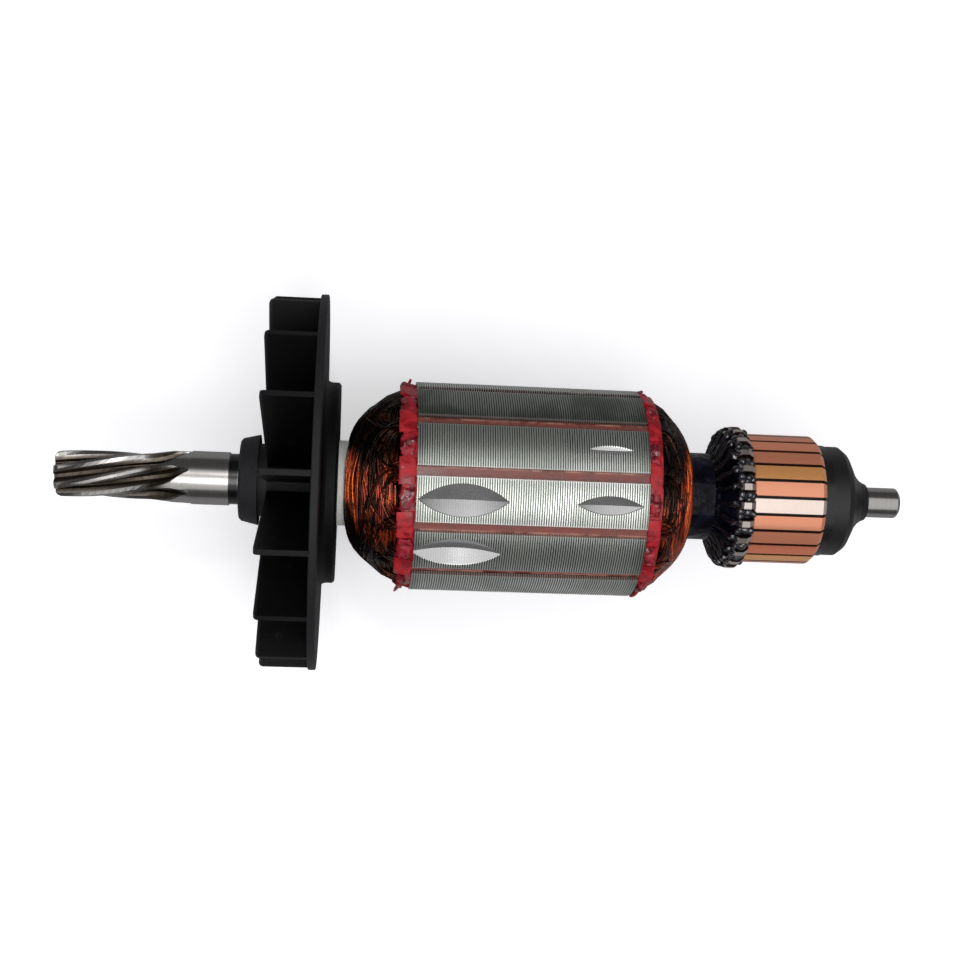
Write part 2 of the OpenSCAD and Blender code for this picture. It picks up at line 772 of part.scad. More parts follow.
module commutator_bars() color([0.72, 0.42, 0.28]) {
    for (i = [0 : bar_count - 1]) at_angle(bar_start + (i + 0.5) * bar_pitch) union() commutator_bar();
}

module commutator_body() color([0.12, 0.09, 0.07]) {
    bore_r = commutator_seat_d / 2;
    fin_len = x_bars_end - x_hooks;
    union() {
        turned([
            [x_hooks, bore_r],
            [x_hooks, bar_inner_r + anchor_step],
            [x_hooks + anchor_len, bar_inner_r],
            [x_bars_end - anchor_len, bar_inner_r],
            [x_bars_end, bar_inner_r + anchor_step],
            [x_bars_end, bore_r]
        ]);
        for (i = [0 : bar_count - 1]) at_angle(bar_start + i * bar_pitch)
            translate([x_hooks, -bar_gap / 2, bar_inner_r - fin_root])
                cube([fin_len - bar_bevel_len, bar_gap, track_r - undercut - bar_inner_r + fin_root]);
    }
}

module end_cap() color([0.06, 0.06, 0.06]) {
    x_barrel = x_bars_end + cap_barrel_len;
    seat_r = cap_seat_d / 2;
    turned(concat(
        [
            [x_bars_end, seat_r],
            [x_bars_end, cap_rim_r],
            [x_bars_end + cap_rim_len, cap_rim_r],
            [x_bars_end + cap_rim_len, cap_barrel_r]
        ],
        [for (p = cap_shape) [mix(x_barrel, x_cap_end, p[0]), mix(cap_barrel_r, cap_nose_r, p[1])]],
        [
            [x_cap_end, cap_nose_r],
            [x_cap_end, seat_r]
        ]
    ));
}

shaft();
fan();
insulating_sleeve();
core();
fan_end_insulator();
commutator_end_insulator();
slot_liners();
slot_wedges();
wound_coil(1);  // coil_01
wound_coil(2);  // coil_02
wound_coil(3);  // coil_03
wound_coil(4);  // coil_04
wound_coil(5);  // coil_05
wound_coil(6);  // coil_06
wound_coil(7);  // coil_07
wound_coil(8);  // coil_08
wound_coil(9);  // coil_09
wound_coil(10);  // coil_10
wound_coil(11);  // coil_11
wound_coil(12);  // coil_12
coil_leads();
lead_binding();
lead_collar();
commutator_bars();
commutator_body();
end_cap();
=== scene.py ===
import json
import math
import random

import bpy
from mathutils import Matrix, Vector


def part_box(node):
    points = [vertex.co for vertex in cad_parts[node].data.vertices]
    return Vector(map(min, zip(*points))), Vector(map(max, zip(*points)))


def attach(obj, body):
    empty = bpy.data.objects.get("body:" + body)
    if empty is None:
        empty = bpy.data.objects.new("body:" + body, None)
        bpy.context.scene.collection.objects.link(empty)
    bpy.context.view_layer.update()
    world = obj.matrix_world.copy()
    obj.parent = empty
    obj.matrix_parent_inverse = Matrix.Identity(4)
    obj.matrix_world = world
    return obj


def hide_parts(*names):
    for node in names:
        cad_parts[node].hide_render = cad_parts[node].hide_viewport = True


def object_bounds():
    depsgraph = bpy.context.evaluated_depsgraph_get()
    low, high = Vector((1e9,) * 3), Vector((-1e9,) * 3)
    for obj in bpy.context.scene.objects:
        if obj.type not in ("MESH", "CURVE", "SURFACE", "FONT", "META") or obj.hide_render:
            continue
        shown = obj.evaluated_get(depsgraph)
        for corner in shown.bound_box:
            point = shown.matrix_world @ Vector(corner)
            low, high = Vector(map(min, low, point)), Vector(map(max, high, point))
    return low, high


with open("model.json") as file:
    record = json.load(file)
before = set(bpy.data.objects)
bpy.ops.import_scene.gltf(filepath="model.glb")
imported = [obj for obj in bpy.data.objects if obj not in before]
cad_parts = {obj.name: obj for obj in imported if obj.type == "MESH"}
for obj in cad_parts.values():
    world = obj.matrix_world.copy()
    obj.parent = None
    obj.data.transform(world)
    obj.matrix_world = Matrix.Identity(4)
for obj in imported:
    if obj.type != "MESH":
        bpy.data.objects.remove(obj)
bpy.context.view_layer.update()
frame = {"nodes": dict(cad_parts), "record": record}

MM = 0.001


# ---------------------------------------------------------------- stations, in millimetres

def reach(node):
    """Low end, high end and outer radius of a turned piece, in millimetres."""
    low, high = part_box(node)
    return low.x / MM, high.x / MM, max(high.y, high.z) / MM


CORE_START, CORE_END, CORE_R = reach("core")
SLEEVE_R = reach("insulating_sleeve")[2]
_, BINDING_END, BINDING_R = reach("lead_binding")
HOOKS_START, BARS_END, HOOK_R = reach("commutator_bars")
FAN_COIL_TIP, BAR_COIL_TIP, _ = reach("coil_06")
TRACK_R = 14.8
SHEET_PITCH = 0.52
TEETH_FROM, TEETH_FULL = -4.6, -7.5
RUN_OUT_FROM, RUN_OUT_FULL = -16.0, -12.5
NECK_START, NECK_END = 4.1, 7.0
BLADE_TIPS = 12.4
FAN_RIM_R = 42.0
HOOKS_TO = HOOKS_START + 3.9

# Counts, and pitches and first places in degrees from +Z towards +Y.
SLOT_COUNT = 12
SLOT_PITCH = 30.0
FIRST_SLOT = 8.5
BAR_COUNT = 24
BAR_PITCH = 15.0
FIRST_BAR_GAP = 1.7
# The upper tooth that is darkened with painted shade, as it faces away from the lamps.
SHADED_TOOTH = FIRST_SLOT + 1.5 * SLOT_PITCH
# The bar that carries a painted highlight, near-white in every view.
GLARE_BAR = FIRST_BAR_GAP - BAR_PITCH / 2
BAR_GAP_SHARE = 0.098  # of the bar pitch, from the middle of a gap to a bar's clean copper
ROUGH_TURN = 6.3  # radians, near enough a full turn for phases and twists


def across_shaft(radius, angle):
    """Y and Z of a point at an angle from +Z towards +Y."""
    turn = math.radians(angle)
    return radius * math.sin(turn), radius * math.cos(turn)


def past_core(side, away):
    """A station outside one end of the core: side is -1 at the fan, 1 at the commutator."""
    return CORE_START - away if side < 0 else CORE_END + away


def mix(low, high, share):
    return low + (high - low) * share


def ease(share):
    """Smooth change from 0 to 1."""
    share = min(1.0, max(0.0, share))
    return share * share * (3 - 2 * share)


# ---------------------------------------------------------------- node wiring

def rgb(red, green, blue):
    return (red, green, blue, 1.0)


class Wiring:
    """Puts nodes into one tree and joins them."""

    def __init__(self, tree):
        self.tree = tree

    def feed(self, socket, value):
        if isinstance(value, bpy.types.NodeSocket):
            self.tree.links.new(value, socket)
        else:
            socket.default_value = value

    def put(self, kind, inputs=None, **settings):
        node = self.tree.nodes.new(kind)
        for name, value in settings.items():
            setattr(node, name, value)
        for name, value in (inputs or {}).items():
            self.feed(node.inputs[name], value)
        return node

    def calc(self, operation, first, second=0.0, clamp=False):
        return self.put(
            "ShaderNodeMath", {0: first, 1: second}, operation=operation, use_clamp=clamp
        ).outputs[0]

    def plus(self, first, second, clamp=False):
        return self.calc("ADD", first, second, clamp)

    def minus(self, first, second, clamp=False):
        return self.calc("SUBTRACT", first, second, clamp)

    def times(self, first, second):
        return self.calc("MULTIPLY", first, second)

    def over(self, first, second):
        return self.calc("DIVIDE", first, second)

    def larger(self, first, second):
        return self.calc("MAXIMUM", first, second)

    def apart(self, first, second):
        """How far two values lie from each other."""
        return self.calc("ABSOLUTE", self.minus(first, second))

    def fade(self, value, start, end, low=0.0, high=1.0):
        """Smooth change from low to high while the value runs from start to end."""
        return self.put(
            "ShaderNodeMapRange",
            {"Value": value, "From Min": start, "From Max": end, "To Min": low, "To Max": high},
            interpolation_type="SMOOTHSTEP",
        ).outputs[0]

    def stain(self, amount, under, over):
        """One colour laid over another by an amount from 0 to 1."""
        return self.put(
            "ShaderNodeMix", {0: amount, 6: under, 7: over}, data_type="RGBA"
        ).outputs[2]

    def vector(self, operation, inputs):
        return self.put("ShaderNodeVectorMath", inputs, operation=operation).outputs

    def length(self, place):
        return self.vector("LENGTH", {0: place})["Value"]

    def stretch(self, place, x, y, z):
        return self.vector("MULTIPLY", {0: place, 1: (x, y, z)})[0]

    def own_place(self):
        """Where a point lies on its own object, in metres."""
        return self.put("ShaderNodeTexCoord").outputs["Object"]

    def clouds(self, place, scale, detail=3.0, roughness=0.55):
        return self.put(
            "ShaderNodeTexNoise",
            {"Vector": place, "Scale": scale, "Detail": detail, "Roughness": roughness},
        ).outputs["Fac"]

    def relief(self, height, depth):
        """A fine surface relief, with its depth in millimetres."""
        return self.put("ShaderNodeBump", {"Height": height, "Distance": depth * MM}).outputs[0]


def new_group(name, inputs, outputs):
    """An empty shader group with float inputs, and outputs of the kinds given."""
    group = bpy.data.node_groups.new(name, "ShaderNodeTree")
    for label, start in inputs.items():
        socket = group.interface.new_socket(label, in_out="INPUT", socket_type="NodeSocketFloat")
        socket.default_value = start
    for label, kind in outputs.items():
        group.interface.new_socket(label, in_out="OUTPUT", socket_type=kind)
    wiring = Wiring(group)
    return group, wiring, wiring.put("NodeGroupInput"), wiring.put("NodeGroupOutput")


def make_shaft_place():
    """Where a point lies on the rotor: station and radius in millimetres, angle in degrees.

    Wrap is a place on a unit tube round the shaft, for patterns that run round it.
    """
    group, wiring, _, out = new_group("shaft place", {}, {
        "Place": "NodeSocketVector", "Station": "NodeSocketFloat", "Radius": "NodeSocketFloat",
        "Angle": "NodeSocketFloat", "Wrap": "NodeSocketVector",
    })
    place = wiring.stretch(wiring.own_place(), 1000, 1000, 1000)
    parts = wiring.put("ShaderNodeSeparateXYZ", {0: place}).outputs
    flat = wiring.stretch(place, 0, 1, 1)
    angle = wiring.times(wiring.calc("ARCTAN2", parts["Y"], parts["Z"]), 180 / math.pi)
    unit = wiring.vector("NORMALIZE", {0: flat})[0]
    ring = wiring.put("ShaderNodeCombineXYZ", {"X": parts["X"]}).outputs[0]
    for label, value in {
        "Place": place, "Station": parts["X"], "Radius": wiring.length(flat),
        "Angle": angle, "Wrap": wiring.vector("ADD", {0: unit, 1: ring})[0],
    }.items():
        wiring.feed(out.inputs[label], value)
    return group


def make_slot_place():
    """How many degrees a point lies from the middle of the nearest slot."""
    group, wiring, given, out = new_group(
        "slot place", {"Angle": 0.0}, {"From slot": "NodeSocketFloat"}
    )
    slots = wiring.over(wiring.minus(given.outputs["Angle"], FIRST_SLOT), SLOT_PITCH)
    share = wiring.calc("FRACT", wiring.plus(slots, SLOT_COUNT + 0.5))
    wiring.feed(out.inputs["From slot"], wiring.times(wiring.apart(share, 0.5), SLOT_PITCH))
    return group


def make_turned_lines():
    """Fine rings that a tool or a wheel leaves round a turned surface."""
    group, wiring, given, out = new_group(
        "turned lines", {"Station": 0.0, "Lines per mm": 4.0, "Breaks": 0.2},
        {"Height": "NodeSocketFloat", "Shade": "NodeSocketFloat"},
    )
    place = wiring.own_place()
    lines = wiring.times(given.outputs["Station"], given.outputs["Lines per mm"])
    drift = wiring.times(wiring.clouds(place, 260.0, 2.0), given.outputs["Breaks"])
    along = wiring.put("ShaderNodeCombineXYZ", {"X": wiring.plus(lines, drift)}).outputs[0]
    height = wiring.clouds(along, 1.0, 5.0, 0.7)
    wiring.feed(out.inputs["Height"], height)
    wiring.feed(out.inputs["Shade"], wiring.fade(height, 0.35, 0.65))
    return group


def make_scuffs():
    """Small rubbed and dusty patches."""
    group, wiring, given, out = new_group(
        "scuffs", {"Size": 3.0, "Amount": 0.3},
        {"Mask": "NodeSocketFloat", "Grain": "NodeSocketFloat"},
    )
    place = wiring.own_place()
    broad = wiring.clouds(place, wiring.over(1000.0, given.outputs["Size"]), 4.0, 0.6)
    fine = wiring.clouds(place, 2600.0, 3.0, 0.7)
    both = wiring.plus(wiring.times(broad, 0.75), wiring.times(fine, 0.25))
    start = wiring.minus(0.78, wiring.times(given.outputs["Amount"], 0.4))
    wiring.feed(out.inputs["Mask"], wiring.fade(both, start, wiring.plus(start, 0.12)))
    wiring.feed(out.inputs["Grain"], fine)
    return group


def make_varnish_film():
    """Uneven runs and pools of varnish: how deep the film lies, and its surface."""
    group, wiring, given, out = new_group(
        "varnish film", {"Run length": 4.0},
        {"Depth": "NodeSocketFloat", "Surface": "NodeSocketFloat"},
    )
    place = wiring.own_place()
    runs = wiring.put("ShaderNodeTexNoise", {"Vector": place, "Detail": 3.0, "Distortion": 0.6})
    wiring.feed(runs.inputs["Scale"], wiring.over(1000.0, given.outputs["Run length"]))
    wiring.feed(out.inputs["Depth"], wiring.fade(runs.outputs["Fac"], 0.36, 0.64))
    wiring.feed(out.inputs["Surface"], wiring.clouds(place, 900.0, 2.0))
    return group


SHAFT_PLACE = make_shaft_place()
SLOT_PLACE = make_slot_place()
TURNED_LINES = make_turned_lines()
SCUFFS = make_scuffs()
VARNISH_FILM = make_varnish_film()


class Finish:
    """One material: a Principled surface with its own wiring."""

    def __init__(self, name, **fixed):
        self.material = bpy.data.materials.new(name)
        self.material.use_nodes = True
        tree = self.material.node_tree
        self.wiring = Wiring(tree)
        self.surface = tree.nodes["Principled BSDF"]
        for label, value in fixed.items():
            self.surface.inputs[label.replace("_", " ")].default_value = value

    def group(self, tree, **inputs):
        node = self.wiring.put("ShaderNodeGroup", node_tree=tree)
        for label, value in inputs.items():
            self.wiring.feed(node.inputs[label.replace("_", " ")], value)
        return node.outputs

    def drive(self, label, value):
        self.wiring.feed(self.surface.inputs[label], value)

    def tone(self):
        """The tone that each wire carries: 0 is dark, 1 is clean; on the winding it holds varnish
        and painted light and shade.
        """
        return self.wiring.put("ShaderNodeAttribute", attribute_name="tone").outputs["Fac"]


# ---------------------------------------------------------------- finishes

def shaft_steel():
    """Ground steel, darker brown-grey down in the tooth spaces and at the run-out."""
    look = Finish("shaft_steel", Metallic=1.0)
    w = look.wiring
    at = look.group(SHAFT_PLACE)
    lines = look.group(TURNED_LINES, Station=at["Station"], Lines_per_mm=2.2, Breaks=0.6)
    scuffs = look.group(SCUFFS, Size=2.4, Amount=0.35)
    steel = w.stain(lines["Shade"], rgb(0.40, 0.385, 0.375), rgb(0.45, 0.435, 0.42))
    # Darker brown-grey down in the tooth spaces and in the run-out below the tooth tips.
    toothed = w.fade(at["Station"], TEETH_FROM, TEETH_FULL)
    deep = w.times(toothed, w.fade(at["Radius"], 5.0, 3.9))
    below_tips = w.times(toothed, w.fade(at["Radius"], 5.75, 5.2))
    run_out = w.times(w.fade(at["Station"], RUN_OUT_FROM, RUN_OUT_FULL), below_tips)
    tooth_space_dark = w.larger(deep, run_out)
    tooth_space_colour = w.stain(w.clouds(at["Place"], 0.9), rgb(0.030, 0.024, 0.018), rgb(0.15, 0.125, 0.10))
    colour = w.stain(tooth_space_dark, steel, tooth_space_colour)
    stained = w.stain(w.times(scuffs["Mask"], 0.5), colour, rgb(0.20, 0.17, 0.12))
    neck = w.times(
        w.fade(at["Station"], NECK_START, NECK_START + 0.2),
        w.fade(at["Station"], NECK_END, NECK_END - 1.0),
    )
    look.drive("Base Color", w.stain(neck, stained, rgb(0.05, 0.05, 0.05)))
    rougher = w.plus(w.times(lines["Shade"], 0.05), w.times(tooth_space_dark, 0.14))
    look.drive("Roughness", w.plus(0.20, rougher))
    look.drive("Normal", w.relief(lines["Height"], 0.0015))
    return look.material


def fan_moulding():
    """Matt black moulding with grey blade edges and rim, partly rubbed wear and partly a painted
    highlight, and grey scuffs.
    """
    look = Finish("fan_moulding", Specular_IOR_Level=0.15)
    w = look.wiring
    at = look.group(SHAFT_PLACE)
    scuffs = look.group(SCUFFS, Size=5.0, Amount=0.42)
    # Grey along the blade edges and the rim: partly rubbed wear, partly a painted edge highlight.
    blade_edge = w.fade(at["Station"], BLADE_TIPS + 0.8, BLADE_TIPS)
    rim = w.fade(at["Radius"], FAN_RIM_R - 0.6, FAN_RIM_R)
    edge_sheen_and_wear = w.times(w.larger(blade_edge, w.times(rim, 0.8)), scuffs["Grain"])
    sheen_and_wear = w.plus(w.times(edge_sheen_and_wear, 0.30), w.times(scuffs["Mask"], 0.10), clamp=True)
    look.drive("Base Color", w.stain(sheen_and_wear, rgb(0.0022, 0.0022, 0.0026), rgb(0.11, 0.11, 0.12)))
    look.drive("Roughness", w.fade(scuffs["Grain"], 0.3, 0.7, 0.42, 0.62))
    look.drive("Normal", w.relief(scuffs["Grain"], 0.03))
    return look.material


def sleeve_fibre():
    """Off-white glass-fibre sleeve with fibres wound round it."""
    look = Finish("sleeve_fibre", Specular_IOR_Level=0.4)
    w = look.wiring
    at = look.group(SHAFT_PLACE)
    fibres = w.clouds(w.stretch(at["Wrap"], 5.0, 9.0, 9.0), 1.6, 5.0, 0.7)
    specks = look.group(SCUFFS, Size=1.6, Amount=0.25)
    weave = w.stain(w.fade(fibres, 0.35, 0.65), rgb(0.86, 0.86, 0.81), rgb(0.99, 0.99, 0.95))
    flecked = w.stain(w.times(specks["Mask"], 0.6), weave, rgb(0.28, 0.24, 0.18))
    look.drive("Base Color", flecked)
    look.drive("Roughness", w.fade(fibres, 0.3, 0.7, 0.45, 0.7))
    look.drive("Normal", w.relief(fibres, 0.12))
    return look.material


def core_steel():
    """Stacked sheets, turned on the outside, with bright milled balancing cuts and painted shade
    on one upper tooth.
    """
    look = Finish("core_steel", Metallic=0.9)
    w = look.wiring
    at = look.group(SHAFT_PLACE)
    turns = w.times(at["Station"], 2 * math.pi / SHEET_PITCH)
    uneven = w.clouds(w.stretch(at["Wrap"], 1.0, 3.0, 3.0), 1.9, 3.0)
    wave = w.calc("SINE", w.plus(turns, w.times(uneven, 1.2)))
    sheets = w.fade(wave, -0.7, 0.7)
    dust = look.group(SCUFFS, Size=4.5, Amount=0.4)
    film = look.group(VARNISH_FILM, Run_length=14.0)
    bright = w.stain(sheets, rgb(0.06, 0.068, 0.06), rgb(0.88, 0.90, 0.86))
    shaded = w.stain(w.times(film["Depth"], 0.35), bright, rgb(0.22, 0.25, 0.20))
    near_end = w.larger(
        w.fade(at["Station"], CORE_START + 2.6, CORE_START),
        w.fade(at["Station"], CORE_END - 3.4, CORE_END - 0.4),
    )
    ended = w.stain(w.times(near_end, 0.45), shaded, rgb(0.14, 0.17, 0.13))
    from_slot = look.group(SLOT_PLACE, Angle=at["Angle"])["From slot"]
    # Painted shade: one upper tooth is darkened and tinted green, a little more where the varnish
    # lies deep.
    shaded_tooth = w.fade(w.apart(at["Angle"], SHADED_TOOTH), 15.2, 14.6)
    painted_shade = w.times(shaded_tooth, w.fade(film["Depth"], 0.0, 1.0, 0.62, 0.78))
    with_painted_shade = w.stain(painted_shade, ended, rgb(0.035, 0.045, 0.030))
    lip = w.times(w.fade(from_slot, 3.7, 3.2), w.fade(at["Radius"], CORE_R - 0.5, CORE_R - 0.1))
    lipped = w.stain(w.times(lip, 0.5), with_painted_shade, rgb(0.62, 0.60, 0.58))
    spotted = w.stain(w.times(dust["Mask"], 0.35), lipped, rgb(0.16, 0.15, 0.12))
    sunk = w.fade(at["Radius"], CORE_R - 0.05, CORE_R - 0.12)
    milled = w.times(sunk, w.fade(from_slot, 3.4, 4.2))
    cut = w.stain(w.times(sheets, 0.25), rgb(0.62, 0.62, 0.62), rgb(0.42, 0.42, 0.42))
    look.drive("Base Color", w.stain(milled, spotted, cut))
    rough = w.plus(0.30, w.times(film["Depth"], 0.10))
    look.drive("Roughness", w.minus(rough, w.times(milled, 0.16)))
    look.drive("Normal", w.relief(w.times(sheets, w.minus(1.0, w.times(milled, 0.9))), 0.02))
    return look.material


def red_board(name, bright, deep, gloss):
    """Crimson insulating board under uneven glossy varnish."""
    look = Finish(name, Coat_Roughness=0.06, Specular_IOR_Level=0.25)
    w = look.wiring
    film = look.group(VARNISH_FILM, Run_length=2.6)
    scuffs = look.group(SCUFFS, Size=1.2, Amount=0.5)
    board = w.stain(film["Depth"], bright, deep)
    stained = w.stain(w.times(scuffs["Mask"], 0.6), board, rgb(0.09, 0.006, 0.008))
    look.drive("Base Color", stained)
    look.drive("Roughness", w.fade(film["Depth"], 0.0, 1.0, 0.50, 0.24))
    look.drive("Coat Weight", w.fade(film["Depth"], 0.0, 1.0, 0.02, gloss))
    look.drive("Normal", w.relief(film["Surface"], 0.12))
    return look.material


def liner_board():
    """Brown-red slot lining with varnish pooled along it, and a painted highlight along its edges.
    """
    look = Finish("liner_board", Coat_Roughness=0.2)
    w = look.wiring
    at = look.group(SHAFT_PLACE)
    film = look.group(VARNISH_FILM, Run_length=5.0)
    scuffs = look.group(SCUFFS, Size=1.5, Amount=0.35)
    fibres = w.clouds(w.stretch(at["Place"], 0.15, 1.0, 1.0), 2.4, 4.0)
    board = w.stain(fibres, rgb(0.15, 0.028, 0.022), rgb(0.31, 0.080, 0.060))
    pooled = w.stain(w.times(film["Depth"], 0.4), board, rgb(0.08, 0.018, 0.012))
    from_slot = look.group(SLOT_PLACE, Angle=at["Angle"])["From slot"]
    # Painted highlight: a pale line along the lining's edges where the varnish is thin.
    painted_edge_highlight = w.times(w.fade(from_slot, 1.7, 2.4), w.minus(1.0, film["Depth"]))
    with_edge_highlight = w.stain(w.times(painted_edge_highlight, 0.55), pooled, rgb(0.62, 0.36, 0.28))
    dusty = w.stain(w.times(scuffs["Mask"], 0.4), with_edge_highlight, rgb(0.30, 0.15, 0.10))
    look.drive("Base Color", dusty)
    look.drive("Roughness", w.fade(film["Depth"], 0.0, 1.0, 0.42, 0.24))
    look.drive("Coat Weight", w.fade(film["Depth"], 0.0, 1.0, 0.1, 0.5))
    look.drive("Normal", w.relief(fibres, 0.06))
    return look.material


def winding_wire():
    """Enamelled copper wire; a low tone holds both varnish and painted shade."""
    look = Finish("winding_wire", Coat_Roughness=0.1)
    w = look.wiring
    film = look.group(VARNISH_FILM, Run_length=5.5)
    shown = w.minus(look.tone(), w.times(film["Depth"], 0.30), clamp=True)
    ramp = w.put("ShaderNodeValToRGB", {0: shown})
    stops = ramp.color_ramp.elements
    stops[0].position, stops[0].color = 0.0, rgb(0.012, 0.007, 0.005)
    stops[1].position, stops[1].color = 1.0, rgb(0.95, 0.18, 0.030)
    for position, colour in ((0.28, rgb(0.085, 0.022, 0.010)), (0.60, rgb(0.44, 0.050, 0.020))):
        stops.new(position).color = colour
    look.drive("Base Color", ramp.outputs["Color"])
    look.drive("Metallic", w.fade(shown, 0.1, 0.7, 0.9, 0.72))
    look.drive("Roughness", w.fade(film["Surface"], 0.3, 0.7, 0.17, 0.32))
    pooled = w.fade(film["Depth"], 0.0, 1.0, 0.3, 1.0)
    look.drive("Coat Weight", w.times(pooled, w.fade(shown, 0.15, 0.6, 0.12, 0.5)))
    look.drive("Normal", w.relief(film["Surface"], 0.02))
    return look.material


def winding_resin(name, **gloss):
    """Blue-black dipping resin with a wet gloss."""
    look = Finish(name, Coat_Roughness=0.03, **gloss)
    w = look.wiring
    at = look.group(SHAFT_PLACE)
    film = look.group(VARNISH_FILM, Run_length=7.0)
    runs = w.clouds(w.stretch(at["Wrap"], 0.30, 2.6, 2.6), 1.4, 1.0, 0.4)
    resin = w.stain(film["Depth"], rgb(0.0015, 0.0015, 0.003), rgb(0.006, 0.006, 0.014))
    look.drive("Base Color", resin)
    look.drive("Roughness", w.fade(film["Surface"], 0.3, 0.7, 0.10, 0.20))
    look.drive("Normal", w.relief(runs, 1.1))
    return look.material


def lead_wire():
    """Twisted leads soaked in dark varnish, with copper showing through here and there."""
    look = Finish("lead_wire", Coat_Roughness=0.05, Coat_Weight=0.3, Specular_IOR_Level=0.1)
    w = look.wiring
    film = look.group(VARNISH_FILM, Run_length=1.8)
    bare = w.times(look.tone(), w.minus(1.0, film["Depth"]))
    look.drive("Base Color", w.stain(bare, rgb(0.003, 0.003, 0.006), rgb(0.02, 0.012, 0.012)))
    look.drive("Roughness", w.fade(film["Surface"], 0.3, 0.7, 0.16, 0.32))
    look.drive("Normal", w.relief(film["Surface"], 0.05))
    return look.material


def bar_copper():
    """Turned copper track, with each bar a little different, a painted highlight on one bar, and
    tarnished hooks.
    """
    look = Finish("bar_copper")
    w = look.wiring
    at = look.group(SHAFT_PLACE)
    lines = look.group(TURNED_LINES, Station=at["Station"], Lines_per_mm=7.0, Breaks=0.3)
    scuffs = look.group(SCUFFS, Size=2.0, Amount=0.35)
    walled = w.fade(at["Station"], BARS_END - 0.9, BARS_END - 1.1)
    bars = w.over(w.minus(at["Angle"], FIRST_BAR_GAP - 360), BAR_PITCH)
    from_gap = w.minus(0.5, w.apart(w.calc("FRACT", bars), 0.5))
    chance = w.put(
        "ShaderNodeTexWhiteNoise", {"W": w.calc("FLOOR", bars)}, noise_dimensions="1D"
    ).outputs["Value"]
    redder = w.stain(w.fade(chance, 0.0, 0.6), rgb(0.80, 0.24, 0.13), rgb(0.86, 0.38, 0.23))
    copper = w.stain(w.fade(chance, 0.66, 0.74), redder, rgb(0.93, 0.43, 0.15))
    # Painted highlight: one bar is coloured near-white and made more metallic, standing in for a
    # glare.
    painted_glare = w.fade(w.apart(at["Angle"], GLARE_BAR), 7.6, 7.2)
    with_painted_glare = w.stain(painted_glare, copper, rgb(0.98, 0.84, 0.76))
    lined = w.stain(w.times(lines["Shade"], 0.18), with_painted_glare, rgb(0.60, 0.24, 0.14))
    hook = w.fade(at["Station"], HOOKS_TO, HOOKS_TO - 0.6)
    clean = w.minus(1.0, w.times(scuffs["Mask"], 0.7))
    bare = w.times(w.fade(from_gap, 0.31, 0.36), clean)
    dull = w.stain(bare, rgb(0.010, 0.010, 0.014), rgb(0.54, 0.50, 0.47))
    hooked = w.stain(w.times(hook, 0.96), lined, dull)
    wall = w.times(w.fade(at["Radius"], TRACK_R - 0.04, TRACK_R - 0.12), walled)
    edge = w.larger(wall, w.fade(from_gap, BAR_GAP_SHARE, BAR_GAP_SHARE - 0.012))
    look.drive("Base Color", w.stain(w.times(edge, 0.93), hooked, rgb(0.05, 0.022, 0.016)))
    look.drive("Metallic", w.plus(0.58, w.times(w.larger(hook, painted_glare), 0.32)))
    rougher = w.plus(w.times(lines["Shade"], 0.08), w.times(hook, 0.12))
    look.drive("Roughness", w.plus(0.17, rougher))
    look.drive("Normal", w.relief(lines["Height"], 0.004))
    return look.material


def commutator_moulding():
    """Dark brown pressed moulding between and under the bars."""
    look = Finish("commutator_moulding", Specular_IOR_Level=0.4)
    w = look.wiring
    scuffs = look.group(SCUFFS, Size=1.4, Amount=0.4)
    brown = w.stain(scuffs["Mask"], rgb(0.006, 0.004, 0.003), rgb(0.020, 0.012, 0.009))
    look.drive("Base Color", brown)
    look.drive("Roughness", w.fade(scuffs["Grain"], 0.3, 0.7, 0.5, 0.75))
    look.drive("Normal", w.relief(scuffs["Grain"], 0.04))
    return look.material


def cap_moulding():
    """Satin black cap with a smooth rim."""
    look = Finish("cap_moulding", Specular_IOR_Level=0.5)
    w = look.wiring
    at = look.group(SHAFT_PLACE)
    scuffs = look.group(SCUFFS, Size=1.2, Amount=0.3)
    lines = look.group(TURNED_LINES, Station=at["Station"], Lines_per_mm=3.0, Breaks=0.3)
    dust = w.times(scuffs["Mask"], 0.5)
    look.drive("Base Color", w.stain(dust, rgb(0.008, 0.008, 0.009), rgb(0.09, 0.09, 0.09)))
    rim = w.fade(at["Station"], BARS_END + 2.6, BARS_END + 2.2)
    satin = w.fade(scuffs["Grain"], 0.3, 0.7, 0.36, 0.52)
    look.drive("Roughness", w.minus(satin, w.times(rim, 0.16)))
    look.drive("Normal", w.relief(lines["Height"], 0.01))
    return look.material


FINISHES = {
    "shaft_steel": shaft_steel(),
    "fan_moulding": fan_moulding(),
    "sleeve_fibre": sleeve_fibre(),
    "core_steel": core_steel(),
    "red_board": red_board("red_board", rgb(0.45, 0.015, 0.024), rgb(0.24, 0.007, 0.013), 0.22),
    "red_folds": red_board("red_folds", rgb(0.36, 0.016, 0.030), rgb(0.12, 0.004, 0.009), 0.9),
    "liner_board": liner_board(),
    "winding_wire": winding_wire(),
    "lead_wire": lead_wire(),
    "winding_resin": winding_resin("winding_resin", Coat_Weight=0.2, Specular_IOR_Level=0.04),
    "resin_beads": winding_resin("resin_beads", Coat_Weight=1.0, Specular_IOR_Level=0.9),
    "bar_copper": bar_copper(),
    "commutator_moulding": commutator_moulding(),
    "cap_moulding": cap_moulding(),
}


# ---------------------------------------------------------------- wires and folds

